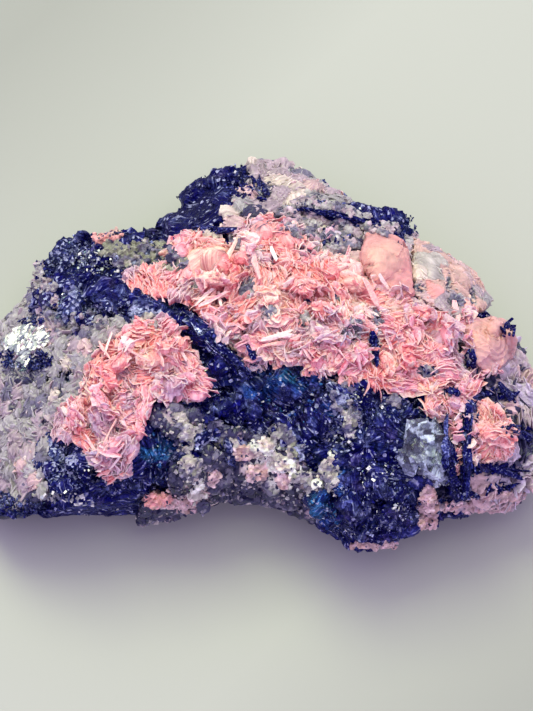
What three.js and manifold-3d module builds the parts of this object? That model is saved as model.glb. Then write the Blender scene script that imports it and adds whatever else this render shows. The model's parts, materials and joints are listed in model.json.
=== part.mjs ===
// Calcite with hematite: a hand-size mineral specimen, dark blocky hematite rock grown over with crusts
// of pink bladed calcite, grey and white grainy calcite, rounded salmon calcite crystals, a sheaf of
// hematite plates and one blocky quartz crystal.
//
// Millimetres, +Z up, resting on a small flat under the rock. The show face leans back from level by
// FACE_TILT, and every place on it is given by (u, v, z): u runs right and v up the face as it is looked
// at square on, and z is the height above the table. Moving along z at one (u, v) stays on one line of
// sight, so an outline in (u, v) is the piece's outline seen square on to the face.
import * as THREE from "three";
import { ConvexGeometry } from "three/addons/geometries/ConvexGeometry.js";
import { mergeVertices } from "three/addons/utils/BufferGeometryUtils.js";
import Module from "manifold-3d";

const wasm = await Module();
wasm.setup();

// ---- Driving dimensions, mm ----
const FACE_TILT = THREE.MathUtils.degToRad(25);
const CREST = 40; // height of the rock's crest above the table
const HEART = [1, -2]; // the (u, v) that the rim runs round
const GAP = 0.35; // clearance between a crust and the rock, and between neighbours
const SKY = 90; // higher than anything on the face
const UNDERCUT = 0.3; // share by which the foot is smaller than the rim
const RIM_LEVEL = -0.35; // where the rim runs round the unit ball that the skins are shaped from
const ROCK_DETAIL = 5; // subdivisions of the ball for the rock
const CRUST_DETAIL = 6; // the same for the crusts
const GRAIN = { size: 5.5, step: 1 }; // lumps of the grainy crusts
const TUFT = { size: 6, step: 0.8 }; // lumps under the blades
const DOME = { size: 9, step: 0.9 }; // lumps of the rounded crystals

// The rim, clockwise from the lower left corner: [u, v, z].
const RIM = [
  [-66, -35.5, 4], [-58, -35.5, 5], [-50, -35, 5], [-42, -34, 6], [-35, -33.5, 7], [-31, -35.5, 8],
  [-27, -33.5, 9], [-22.5, -31, 10], [-17.5, -32, 11], [-14, -30, 11], [-9.5, -29, 11], [-4, -29, 11],
  [5, -31, 10], [11, -34, 9], [15.5, -37, 9], [19, -41, 8], [26, -41.5, 8], [32, -40.5, 8], [36, -38, 9],
  [38.5, -34, 10], [43, -31.5, 10], [51, -33, 10], [57, -31, 10], [63, -27, 11], [65.5, -20, 12],
  [65, -13, 13], [63, -8, 14], [62, -2, 15], [60, 4, 15], [57.5, 9.5, 15], [53, 16, 16], [50, 19.5, 17],
  [47, 24.5, 17], [41, 27.5, 17], [35, 27.5, 16], [34.5, 33, 15], [30, 36, 15], [24, 37, 15],
  [20, 42, 15], [14, 45, 14], [10, 49, 14], [4, 49.5, 14], [-1, 51, 14], [-9, 50.5, 14], [-14, 47.5, 14],
  [-20, 42, 14], [-23, 37.5, 15], [-27.5, 32.5, 16], [-33, 31, 17], [-37, 35, 16], [-43, 34.5, 16],
  [-49, 29.5, 15], [-54, 23.5, 14], [-59, 17, 13], [-64, 8.5, 11], [-67, 1, 9], [-68, -8, 8],
  [-68, -20, 6], [-67.5, -30, 5],
];

// Broad rises and hollows of the face: [u, v, radius, height].
const SWELLS = [
  [-42, 17, 14, 4], [0, -9, 14, -5], [15, -20, 12, -4], [-22, -16, 8, -2], [28, -30, 11, 5], [48, 6, 12, 5],
  [-12, 42, 9, 5], [12, 42, 9, 3], [-28, 28, 7, -4], [5, 12, 16, 3], [-38, -5, 12, 2], [-52, -26, 10, 4],
  [28, 26, 7, 3], [42, 20, 8, 3], [54, -20, 9, 4],
];

// ---- Solids ----
function solid(geometry) {
  const bare = geometry.clone();
  bare.deleteAttribute("normal");
  bare.deleteAttribute("uv");
  const merged = mergeVertices(bare, 1e-4);
  const vertProperties = merged.attributes.position.array;
  const triVerts = new Uint32Array(merged.index.array);
  return new wasm.Manifold(new wasm.Mesh({ numProp: 3, vertProperties, triVerts }));
}

function geometryOf(made) {
  const mesh = made.getMesh();
  const points = new Float32Array(mesh.vertProperties);
  return new THREE.BufferGeometry()
    .setAttribute("position", new THREE.BufferAttribute(points, 3))
    .setIndex(new THREE.BufferAttribute(new Uint32Array(mesh.triVerts), 1));
}

// The largest body of a solid: chips that a cut leaves loose are dropped.
function largest(made) {
  return made.decompose().reduce((a, b) => (a.volume() > b.volume() ? a : b));
}

const join = (made) => made.reduce((a, b) => a.add(b));

// ---- Repeatable roughness ----
function chance(i, j, k) {
  const s = Math.sin(i * 127.1 + j * 311.7 + k * 74.7) * 43758.5453;
  return s - Math.floor(s);
}

// A crust grows in lumps: each point belongs to the nearest of the jittered lump centres, and the value
// from -1 to 1 is that lump's own.
function lumpAt(p, size) {
  let nearest = Infinity;
  let value = 0;
  const [a, b, c] = [p.x, p.y, p.z].map((x) => Math.floor(x / size));
  for (let n = 0; n < 27; n++) {
    const [i, j, k] = [a + (n % 3) - 1, b + (Math.floor(n / 3) % 3) - 1, c + Math.floor(n / 9) - 1];
    const centre = new THREE.Vector3(i + chance(i, j, k), j + chance(j, k, i), k + chance(k, i, j));
    const distance = centre.multiplyScalar(size).distanceTo(p);
    if (distance < nearest) {
      nearest = distance;
      value = 2 * chance(i + 17, j + 5, k + 11) - 1;
    }
  }
  return value;
}

// ---- Places on the specimen ----
const spot = (u, v, z) =>
  new THREE.Vector3(u, (v - z * Math.sin(FACE_TILT)) / Math.cos(FACE_TILT), z);

// The rim as a fine closed line, sorted by its bearing from the heart.
const rimLine = new THREE.CatmullRomCurve3(RIM.map((p) => new THREE.Vector3(...p)), true)
  .getPoints(360)
  .map((p) => ({
    bearing: Math.atan2(p.y - HEART[1], p.x - HEART[0]),
    reach: Math.hypot(p.x - HEART[0], p.y - HEART[1]),
    z: p.z,
  }))
  .sort((a, b) => a.bearing - b.bearing);

function rimAt(bearing) {
  const found = rimLine.findIndex((p) => p.bearing >= bearing);
  const after = rimLine[Math.max(found, 0)];
  const before = rimLine.at(found < 1 ? -1 : found - 1);
  const span = after.bearing - before.bearing;
  const share = found < 1 || span < 1e-9 ? 0.5 : (bearing - before.bearing) / span;
  return {
    reach: THREE.MathUtils.lerp(before.reach, after.reach, share),
    z: THREE.MathUtils.lerp(before.z, after.z, share),
  };
}

// Height of the bare rock on the show face.
function height(u, v) {
  const [du, dv] = [u - HEART[0], v - HEART[1]];
  const rim = rimAt(Math.atan2(dv, du));
  const share = Math.min(1, Math.hypot(du, dv) / rim.reach);
  let z = rim.z + (CREST - rim.z) * (1 - share ** 2.5) ** 0.8;
  for (const [su, sv, radius, rise] of SWELLS) {
    z += rise * Math.exp(-((u - su) ** 2 + (v - sv) ** 2) / radius ** 2) * (1 - share ** 6);
  }
  return z;
}

// The point of the rock's skin that the direction d of a unit ball stands for: above RIM_LEVEL is the
// show face, at that level the rim, and below it the undercut side and the foot.
function skinPoint(d) {
  const bearing = Math.atan2(d.y, d.x);
  const rim = rimAt(bearing);
  const onFace = d.z >= RIM_LEVEL;
  const depth = (d.z - RIM_LEVEL) / (onFace ? 1 - RIM_LEVEL : -1 - RIM_LEVEL);
  const share = Math.sqrt(Math.max(0, 1 - depth));
  const place = (part, z) => [
    HEART[0] + Math.cos(bearing) * rim.reach * part,
    HEART[1] + Math.sin(bearing) * rim.reach * part,
    z,
  ];
  if (onFace) {
    const [u, v] = place(share, 0);
    return spot(u, v, height(u, v));
  }
  const edge = spot(...place(1, rim.z));
  const drop = Math.sin((Math.PI / 2) * Math.min(1, (1 - share) / UNDERCUT));
  return new THREE.Vector3(edge.x * share, edge.y * share, THREE.MathUtils.lerp(rim.z, -3, drop));
}

// A closed skin round the specimen, moved out from the bare rock by swell(point).
function skin(detail, swell) {
  const ball = new THREE.IcosahedronGeometry(1, detail);
  ball.deleteAttribute("normal");
  ball.deleteAttribute("uv");
  const shape = mergeVertices(ball, 1e-3);
  const place = shape.attributes.position;
  const p = new THREE.Vector3();
  for (let i = 0; i < place.count; i++) {
    p.fromBufferAttribute(place, i).normalize();
    place.setXYZ(i, ...skinPoint(p));
  }
  shape.computeVertexNormals();
  const out = new THREE.Vector3();
  for (let i = 0; i < place.count; i++) {
    p.fromBufferAttribute(place, i);
    out.fromBufferAttribute(shape.attributes.normal, i);
    place.setXYZ(i, ...p.addScaledVector(out, swell(p)));
  }
  return solid(shape);
}

// An outline pushed out by a distance, each corner along its own bisector.
function pushOut(outline, distance) {
  const turn = THREE.ShapeUtils.area(outline.map((p) => new THREE.Vector2(...p))) > 0 ? 1 : -1;
  return outline.map(([u, v], i) => {
    const [a, b] = outline.at(i - 1);
    const [c, d] = outline[(i + 1) % outline.length];
    const run = Math.hypot(c - a, d - b) || 1;
    return [u + (turn * distance * (d - b)) / run, v - (turn * distance * (c - a)) / run];
  });
}

// Everything inside an outline, along the line of sight, from the height low up.
function column(outline, low) {
  const shape = new THREE.Shape(outline.map((p) => new THREE.Vector2(...p)));
  const made = new THREE.ExtrudeGeometry(shape, { depth: 1, steps: 1, bevelEnabled: false });
  const place = made.attributes.position;
  for (let i = 0; i < place.count; i++) {
    const p = spot(place.getX(i), place.getY(i), place.getZ(i) > 0.5 ? SKY : low);
    place.setXYZ(i, p.x, p.y, p.z);
  }
  return solid(made);
}

// ---- Crystals ----
// A blade with a pointed end: root is its buried end, along and across its plane, all sizes in mm.
function blade(root, along, across, length, width, thickness) {
  const out = new THREE.Vector3().crossVectors(across, along).normalize();
  const corners = [[-0.12, 0], [0.12, 0], [0.5, 0.7], [0.1, 1], [-0.5, 0.8]];
  const shape = new THREE.Shape(corners.map(([x, y]) => new THREE.Vector2(x * width, y * length)));
  const made = new THREE.ExtrudeGeometry(shape, { depth: thickness, steps: 1, bevelEnabled: false });
  made.translate(0, 0, -thickness / 2);
  return made.applyMatrix4(new THREE.Matrix4().makeBasis(across, along, out).setPosition(root));
}

// The outward direction of the show face at (u, v).
function outward(u, v) {
  const step = 2;
  const across = spot(u + step, v, height(u + step, v)).sub(spot(u - step, v, height(u - step, v)));
  const up = spot(u, v + step, height(u, v + step)).sub(spot(u, v - step, height(u, v - step)));
  return across.cross(up).normalize();
}

// A rosette of blades that fan out of one root. lift is how far the root stands above the bare rock.
function rosette([u, v, radius, count], lift) {
  const up = outward(u, v);
  const root = spot(u, v, height(u, v)).addScaledVector(up, lift - 0.25 * radius);
  const side = new THREE.Vector3(1, 0, 0).cross(up).normalize();
  const front = new THREE.Vector3().crossVectors(up, side);
  return Array.from({ length: count }, (_, i) => {
    const luck = chance(u, v, i);
    const bearing = i * 2.4 + luck;
    const lean = THREE.MathUtils.degToRad(20 + 58 * Math.sqrt((i + 0.5) / count));
    const flat = side.clone().multiplyScalar(Math.cos(bearing)).addScaledVector(front, Math.sin(bearing));
    const along = up.clone().multiplyScalar(Math.cos(lean)).addScaledVector(flat, Math.sin(lean));
    const across = new THREE.Vector3().crossVectors(along, up).normalize();
    across.applyAxisAngle(along, (chance(i, u, v) - 0.5) * 2.2);
    return solid(blade(root, along, across, radius * (0.95 + 0.35 * luck), radius * 1.1, 1));
  });
}

// ---- Hematite that stands out of the rock: corner points [u, v, height above the rock] ----
const OUTCROPS = {
  fin: [
    [-19, 12.5, 3.5], [-15, 10, 5.5], [-10, 5.5, 5.5], [-4.5, 0, 4], [-6, -4, -4], [-12, 0, -4], [-17, 9, -4],
    [-9, -2, 2.5], [-14, 4, 3],
  ],
  spur: [[-5.5, 7, 3.5], [-2.5, 2, 4.5], [0, -1, -4], [-6, 0, -4], [-5, 6, -4], [-3.5, 5.5, 4]],
  slab: [
    [6.5, 37.5, 4], [14, 35.5, 5.5], [24, 34.5, 5.5], [33, 34, 5], [34.5, 31, 3], [33.5, 28.5, -3],
    [24, 31.5, 3], [15, 33.5, 3], [20, 33, -5], [30, 32, -5], [12, 35, -5],
  ],
};

function outcrop(corners, spread) {
  const points = corners.map(([u, v, rise]) =>
    spot(u, v, height(u, v)).addScaledVector(outward(u, v), rise),
  );
  const centre = points.reduce((a, b) => a.clone().add(b)).divideScalar(points.length);
  const pushed = points.map((p) => p.clone().addScaledVector(p.clone().sub(centre).normalize(), spread));
  return solid(new ConvexGeometry(pushed));
}

// Broken blocks and plates: [u, v, width, length, rise above the rock, turn, lean], mm and degrees.
const BLOCKS = [
  // upper left mass
  [-48, 26, 14, 9, 2.5, 20, 8], [-38, 27, 9, 8, 2, -15, -10], [-44, 17, 13, 10, 3.5, 35, 6],
  [-35, 16, 8, 9, 2, 10, -12], [-52, 14, 7, 8, 2, -25, 14], [-31, 13, 6, 5, 1.5, 40, 5],
  // top horn
  [-17, 43, 8, 6, 2, 30, 10], [-10, 46, 9, 6, 2.5, -20, 6], [-13, 35, 8, 6, 2, 15, -8],
  [-9, 40, 6, 6, 2, 50, 8],
  // middle mass
  [-3, -6, 13, 7, 2, 25, 8], [8, -3, 10, 6, 2, -20, -8], [6, -12, 12, 7, 1.5, 10, 10],
  [17, -9, 10, 8, 2.5, 35, 6], [-9, -9, 8, 5, 1.5, -30, 6], [19, -18, 8, 9, 2, -15, 12],
  [26, -10, 7, 6, 2, 20, -6],
  // lower right mass
  [22, -27, 10, 9, 2.5, 25, -8], [31, -31, 12, 8, 2.5, -10, 8], [26, -36, 10, 7, 2, 40, 12],
  [14, -31, 6, 6, 2, 15, 6],
  // lower left
  [-45, -24, 10, 6, 2, 10, 10], [-40, -30, 9, 6, 2, -15, 6], [-46, -31, 10, 5, 1.5, 30, 12],
  [-33, -29, 6, 5, 2, 5, 8], [-37, 1, 4, 5, 1.5, 30, 5],
];
const BLOCK_HEIGHT = 6;

function brokenBlock([u, v, width, length, rise, turn, lean], spread) {
  const rough = Math.min(width, length) / 6;
  const corners = [0, 1, 2, 3, 4, 5, 6, 7].map((n) => {
    const sides = [n & 1, n & 2, n & 4].map((bit) => (bit ? 1 : -1));
    const half = [width / 2, length / 2, BLOCK_HEIGHT / 2];
    const knock = [chance(u, v, n), chance(v, n, u), 0].map((luck) => (luck - 0.5) * rough);
    return new THREE.Vector3(...sides.map((side, k) => side * (half[k] + spread) + knock[k]));
  });
  const made = new ConvexGeometry(corners).translate(0, 0, rise - BLOCK_HEIGHT / 2);
  const up = outward(u, v);
  const tilt = new THREE.Quaternion().setFromUnitVectors(new THREE.Vector3(0, 0, 1), up);
  const p = spot(u, v, height(u, v));
  made.rotateX(THREE.MathUtils.degToRad(lean)).rotateZ(THREE.MathUtils.degToRad(turn));
  return solid(made.applyQuaternion(tilt).translate(p.x, p.y, p.z));
}

// A sheaf of plates standing on edge: [u, v, thickness, length, rise, turn, lean] in the same way.
const SHEAF = [
  [41.6, -17, 1, 13, 2.5, 6, 0], [43.3, -19, 1, 18, 4, 3, 0], [45, -19, 1, 21, 4, 0, 0],
  [46.7, -17, 1, 16, 3, -4, 0], [45, -26.5, 1, 9, 3, 62, 0], [44, -10, 1, 8, 3, -58, 0],
];

const belowTable = solid(new THREE.BoxGeometry(400, 400, 100).translate(0, 0, -50));
const bare = skin(ROCK_DETAIL, () => 0);
const standingOut = (spread) =>
  join([
    ...Object.values(OUTCROPS).map((corners) => outcrop(corners, 2 * spread)),
    ...[...BLOCKS, ...SHEAF].map((block) => brokenBlock(block, spread)),
  ]);

// ---- Pieces ----
// What a new piece keeps clear of: the rock and what stands out of it, and the pieces before it.
const taken = [skin(ROCK_DETAIL, () => GAP), standingOut(GAP), belowTable];
const pieces = [];

function add(name, colour, made, room) {
  pieces.push({ name, colour, made: largest(taken.reduce((a, b) => a.subtract(b), made)) });
  taken.push(room);
}

// A crust on the rock: everything up to a lumpy skin inside an outline, wrapping over the rim down to
// the height low. Blades of its rosettes are kept to the outline, so that neighbours never meet.
function crust(name, colour, { outline, low, thick, lump, rosettes = [] }) {
  const bulk = skin(CRUST_DETAIL, (p) => thick + lump.step * lumpAt(p, lump.size));
  const blades = rosettes.flatMap((r) => rosette(r, thick));
  const made = join([bulk, ...blades]).intersect(column(outline, low));
  add(name, colour, made, column(pushOut(outline, GAP), low - GAP));
}

// ---- Colours ----
const HEMATITE = { color: 0x23244a, roughness: 0.4, metalness: 0.6 };
const PINK = { color: 0xf4a39f, roughness: 0.55, metalness: 0 };
const SALMON = { color: 0xf8bda9, roughness: 0.5, metalness: 0 };
const CREAM = { color: 0xe6c8c0, roughness: 0.5, metalness: 0 };
const GREY = { color: 0xa39aa4, roughness: 0.6, metalness: 0 };
const WHITE = { color: 0xb9b6bb, roughness: 0.6, metalness: 0 };
const QUARTZ = { color: 0x9a9fb0, roughness: 0.25, metalness: 0 };

// ---- Quartz: one blocky crystal with flat faces, corners as [u, v, height above the rock] ----
const QUARTZ_CORNERS = [
  [31, -15.5, 1], [32, -12, 2], [36, -11, 2.5], [39.5, -15, 4], [41.5, -20.5, 4], [41, -24.5, 2],
  [39, -26.5, 1], [34.5, -25.5, 0.5], [31, -20.5, 2], [36, -15, 7], [38.5, -20.5, 8], [35.5, -21, 8.5],
  [33.5, -14.5, 0.5], [40, -22, 0.5], [33, -22, 0.5],
];
add("grey_quartz", QUARTZ, outcrop(QUARTZ_CORNERS, 0), outcrop(QUARTZ_CORNERS, 2 * GAP));

// ---- Rounded salmon and cream calcite crystals ----
crust("salmon_crystal", SALMON, {
  outline: [
    [22.5, 29], [24, 31.5], [28.5, 32], [31.5, 30], [34, 21.5], [34, 18], [31.5, 17.5], [25.5, 21.5],
  ],
  low: 12, thick: 4.5, lump: DOME,
});
crust("salmon_rosette", SALMON, {
  outline: [[46, 4], [45.5, 8], [48.5, 11.5], [52.5, 12.5], [56.5, 10.5], [58.5, 7], [57.5, 3], [51, -0.5]],
  low: 10, thick: 3.6, lump: GRAIN, rosettes: [[52, 6, 6, 5]],
});
crust("cream_crystals", CREAM, {
  outline: [
    [35, 22], [35.5, 31], [47, 29], [54, 17], [50, 14.5], [47, 11.5], [40.5, 14], [35, 17.5],
  ],
  low: 10, thick: 2.2, lump: DOME,
});
crust("pink_fan", PINK, {
  outline: [[47.8, -16], [47.8, -9.5], [50.5, -6.5], [56, -12.5], [56.5, -16.5], [54.5, -19.3], [48, -20]],
  low: 10, thick: 2.6, lump: TUFT, rosettes: [[51.5, -13.5, 6, 5]],
});

// ---- Pink bladed calcite ----
crust("main_pink_blades", PINK, {
  outline: [
    [-33, 22], [-23, 25], [-22.5, 29.5], [-18, 32], [-9, 28], [-7, 32], [0.5, 37], [5, 35], [11.5, 26.5],
    [21, 25], [22, 21.5], [32, 16], [44, 10], [44.5, 1], [49, -2], [46.6, -12.5], [42, -13], [36, -9],
    [37, -5], [25.5, -4.5], [22, -1.5], [11.5, 1], [-2.5, 4.5], [-4, 9], [-9.5, 9], [-19, 16.5], [-31, 18],
  ],
  low: 15, thick: 2, lump: TUFT,
  rosettes: [
    [-12.5, 18.5, 8, 5], [-19.5, 26, 5.5, 3], [-5, 25.5, 5, 3], [1, 32, 5, 3], [10, 19, 7.5, 4],
    [18.5, 19.5, 6, 3], [-1, 13, 5.5, 3], [11.5, 8.5, 7, 4], [20, 5, 6, 3], [31, 12, 6, 3], [29, 2.5, 5.5, 3],
    [38, 7, 6.5, 3], [42, -8, 4.5, 3],
  ],
});
crust("left_pink_blades", PINK, {
  outline: [
    [-49, -15.5], [-47.5, -9.5], [-42, -6.5], [-41.5, -0.5], [-38.5, 4.5], [-29, 11], [-22.5, 11.5], [-17, 5],
    [-12.5, -4], [-15, -6], [-26, -6.5], [-29.5, -16.5], [-31.5, -23], [-35, -24.5], [-38.5, -22],
    [-43, -15.5],
  ],
  low: 10, thick: 2, lump: TUFT,
  rosettes: [
    [-32, 4, 7.5, 4], [-24, 5.5, 6, 3], [-21, -1.5, 5.5, 3], [-38, -6.5, 7.5, 4], [-44.5, -12.5, 5, 3],
    [-35.5, -15, 6.5, 3],
  ],
});

// ---- Grainy grey, white and mauve calcite ----
crust("top_grey_calcite", GREY, {
  outline: [
    [-43, 32], [-42, 38], [-27, 37], [-24, 34], [-17, 37], [-8.5, 41.5], [-4, 47], [-4, 56], [6, 56],
    [17, 50], [27, 42], [27, 38.5], [36, 37], [34, 27], [30.5, 32.5], [24, 32], [21.5, 25.6], [12, 27],
    [5.3, 35.6], [0.4, 37.8], [-7, 32.7], [-12.5, 31], [-19, 33], [-23.5, 30], [-23.5, 25.7], [-33, 22.8],
    [-34.5, 29.5],
  ],
  low: 8, thick: 1.6, lump: GRAIN, rosettes: [[-37.5, 32.5, 3.5, 3]],
});
crust("left_grey_calcite", GREY, {
  outline: [
    [-75, 14], [-54, 25], [-51, 16.5], [-48, 9], [-45, 7.5], [-31, 14], [-29, 12], [-39, 5], [-42, 0],
    [-42.5, -6], [-48, -9], [-50, -15], [-51, -28.5], [-58, -31.5], [-75, -32],
  ],
  low: 3, thick: 1.5, lump: GRAIN,
});
crust("lower_white_calcite", WHITE, {
  outline: [
    [-26, -7.5], [-17.5, -9], [-6, -13.5], [4, -15.5], [9, -23], [14.5, -25.5], [16, -29], [10, -37],
    [-30, -37], [-28.5, -31], [-22, -28.5], [-21.5, -22], [-21, -16], [-27, -10.5],
  ],
  low: 6, thick: 1.4, lump: GRAIN, rosettes: [[-16.5, -28.5, 4, 3], [-22, -30, 3.5, 3]],
});
crust("right_grey_calcite", CREAM, {
  outline: [
    [50.5, 14.5], [56, 20], [64, 12], [72, 2], [72, -26], [56, -36.5], [42, -36], [36.5, -33],
    [37.5, -27.5], [43, -27], [47.6, -20.5], [55, -19.7], [57, -16.5], [50.5, -5.8], [51, -0.9],
    [58, 2.8], [59, 7], [56.8, 11], [52.6, 13],
  ],
  low: 6, thick: 1.5, lump: GRAIN, rosettes: [[60, -4, 4, 3], [59, -24, 4, 3]],
});

// ---- The rock itself ----
const rock = join([bare, standingOut(0)]).subtract(belowTable);
pieces.push({ name: "hematite_rock", colour: HEMATITE, made: largest(rock) });

// ---- The specimen, with its origin under the middle of its box ----
const specimen = new THREE.Group();
for (const { name, colour, made } of pieces) {
  const mesh = new THREE.Mesh(geometryOf(made), new THREE.MeshStandardMaterial(colour));
  mesh.name = name;
  specimen.add(mesh);
}
const box = new THREE.Box3().setFromObject(specimen);
const middle = box.getCenter(new THREE.Vector3());
specimen.position.set(-middle.x, -middle.y, -box.min.z);

export default specimen;
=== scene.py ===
# Calcite with hematite: a hand-size mineral specimen on a pale table, lit softly from behind and above.
import json
import math

import bpy
import numpy as np
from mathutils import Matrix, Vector
from mathutils.bvhtree import BVHTree
from mathutils.kdtree import KDTree

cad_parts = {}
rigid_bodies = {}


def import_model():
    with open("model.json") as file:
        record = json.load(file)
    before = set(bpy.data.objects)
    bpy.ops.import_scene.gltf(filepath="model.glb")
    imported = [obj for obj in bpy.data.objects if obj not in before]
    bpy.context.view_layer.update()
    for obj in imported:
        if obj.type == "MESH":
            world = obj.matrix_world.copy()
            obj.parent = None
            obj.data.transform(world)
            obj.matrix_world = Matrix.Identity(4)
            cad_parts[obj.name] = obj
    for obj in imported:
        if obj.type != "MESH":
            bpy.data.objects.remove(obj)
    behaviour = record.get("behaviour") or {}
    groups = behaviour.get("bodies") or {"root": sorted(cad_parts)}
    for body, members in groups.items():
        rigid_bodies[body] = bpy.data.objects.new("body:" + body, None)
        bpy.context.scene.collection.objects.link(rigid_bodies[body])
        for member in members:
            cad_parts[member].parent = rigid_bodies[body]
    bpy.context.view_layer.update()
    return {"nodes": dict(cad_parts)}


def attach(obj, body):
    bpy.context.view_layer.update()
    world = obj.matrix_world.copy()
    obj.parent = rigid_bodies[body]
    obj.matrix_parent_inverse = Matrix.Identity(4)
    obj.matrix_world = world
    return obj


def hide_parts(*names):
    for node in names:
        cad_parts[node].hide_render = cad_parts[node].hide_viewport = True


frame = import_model()

# ---- Camera ----
# A long lens looks square on to the show face, which leans back 25 degrees from level. Everything that is
# placed by a pixel below is placed through this camera.
MM = 0.001
FACE_TILT = math.radians(25)
FACE_ORIGIN = Vector((2.2, 1.9, 0)) * MM  # where the face plane's own origin lies
AIM_UP_FACE = 3.4 * MM
FACE_DEPTH = 25 * MM  # the plane that a pixel's size is taken on
LENS_DISTANCE = 700 * MM
PIXEL = 0.235 * MM  # the size of a pixel on that plane
IMAGE = (533, 711)
SENSOR = 36.0  # mm, along the frame's long side

up_face = Vector((0, math.cos(FACE_TILT), math.sin(FACE_TILT)))
towards_lens = Vector((0, -math.sin(FACE_TILT), math.cos(FACE_TILT)))
bpy.ops.object.select_all(action="DESELECT")
bpy.ops.object.camera_add(
    location=FACE_ORIGIN + up_face * AIM_UP_FACE + towards_lens * (LENS_DISTANCE + FACE_DEPTH),
    rotation=towards_lens.to_track_quat("Z", "Y").to_euler(),
)
camera = bpy.context.object
camera.data.sensor_width = SENSOR
camera.data.lens = SENSOR * LENS_DISTANCE / (PIXEL * IMAGE[1])
camera.data.clip_start = 0.05
bpy.context.scene.camera = camera


def sight(px, py):
    """The direction from the lens through a pixel."""
    right = (px - IMAGE[0] / 2) * PIXEL
    up = (IMAGE[1] / 2 - py) * PIXEL
    return (Vector((right, 0, 0)) + up_face * up - towards_lens * LENS_DISTANCE).normalized()


def to_pixels(points):
    """The pixels (N, 2) that points (N, 3) are seen at."""
    away = points - np.array(camera.location)
    depth = -(away @ np.array(towards_lens))
    scale = LENS_DISTANCE / PIXEL / depth
    return np.stack([IMAGE[0] / 2 + away[:, 0] * scale, IMAGE[1] / 2 - (away @ np.array(up_face)) * scale], 1)


# ---- Hematite rock ----
# Dark blocky iron oxide, navy to black, its broken faces strewn with small bright platelets. The packed
# solid is remeshed finely and chipped by two sizes of broken cells, then platelets are set into it.
IRON = {
    "navy": "#21234f", "coal": "#1b2340", "steel": "#414768", "black": "#0a0a3c", "violet": "#332f52",
    "ink": "#292c5a", "dusk": "#454b7c", "blue": "#27457e", "teal": "#2d5f88", "slate": "#6d7498",
    "ash": "#8288a0", "pale": "#aab2cf", "white": "#f6f7f0", "green": "#86a29c",
}


def linear(hex_colour):
    """An sRGB hex colour as linear RGBA."""
    parts = [int(hex_colour[i : i + 2], 16) / 255 for i in (1, 3, 5)]
    return tuple(c / 12.92 if c <= 0.04045 else ((c + 0.055) / 1.055) ** 2.4 for c in parts) + (1.0,)


def node(tree, kind, links=None, **settings):
    """Adds a shader node. Settings are its properties or its sockets' values. Links go by socket, each from
    an output, from a node's first output, or from a plain value."""
    made = tree.nodes.new("ShaderNode" + kind)
    for name, value in settings.items():
        if name in made.bl_rna.properties:
            setattr(made, name, value)
        else:
            made.inputs[name.replace("_", " ")].default_value = value
    for socket, source in (links or {}).items():
        if isinstance(source, bpy.types.Node):
            source = source.outputs[0]
        if isinstance(source, bpy.types.NodeSocket):
            tree.links.new(source, made.inputs[socket])
        else:
            made.inputs[socket].default_value = source
    return made


def material(name):
    """An empty material and its tree."""
    made = bpy.data.materials.new(name)
    made.use_nodes = True
    made.node_tree.nodes.clear()
    return made, made.node_tree


def unit(vectors):
    """The vectors (N, 3) at length 1."""
    return vectors / np.maximum(np.linalg.norm(vectors, axis=1, keepdims=True), 1e-12)


def pick(palette, mix, count, rng):
    """A linear colour (count, 3) for each of many crystals, by the share that each tone has in a mix."""
    table = np.array([linear(palette[tone])[:3] for tone in mix])
    shares = np.array(list(mix.values()), float)
    return table[rng.choice(len(table), count, p=shares / shares.sum())]


def near(pixels, places):
    """How far inside a set of soft round patches (px, py, rx, ry) each pixel lies, from 0 to 1."""
    inside = np.zeros(len(pixels))
    for px, py, rx, ry in places:
        far = ((pixels[:, 0] - px) / rx) ** 2 + ((pixels[:, 1] - py) / ry) ** 2
        inside = np.maximum(inside, np.exp(-(far**1.5)))
    return inside


def coloured(points, palette, mix, patches, rng):
    """Colours (N, 3) from a mix of tones, and from other mixes inside patches (places, share, mix)."""
    colours = pick(palette, mix, len(points), rng)
    pixels = to_pixels(points)
    for places, share, patch_mix in patches:
        chosen = rng.random(len(points)) < near(pixels, places) * share
        colours[chosen] = pick(palette, patch_mix, chosen.sum(), rng)
    return colours


def ray_tree(pieces):
    """A ray-casting tree of several meshes."""
    points, faces = [], []
    for piece in pieces:
        start = len(points)
        points += [v.co.copy() for v in piece.data.vertices]
        faces += [[start + i for i in p.vertices] for p in piece.data.polygons]
    return BVHTree.FromPolygons(points, faces)


specimen_tree = ray_tree([frame["nodes"][name] for name in sorted(frame["nodes"])])
MIDDLE = np.array([0, 0, 12]) * MM
UNDERSIDE = 1.5 * MM  # faces below this that look down lie on the table
OPEN_AIR = 4 * MM  # crystals grow where nothing else lies this near in front
JUST_OFF = 0.1 * MM


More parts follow.
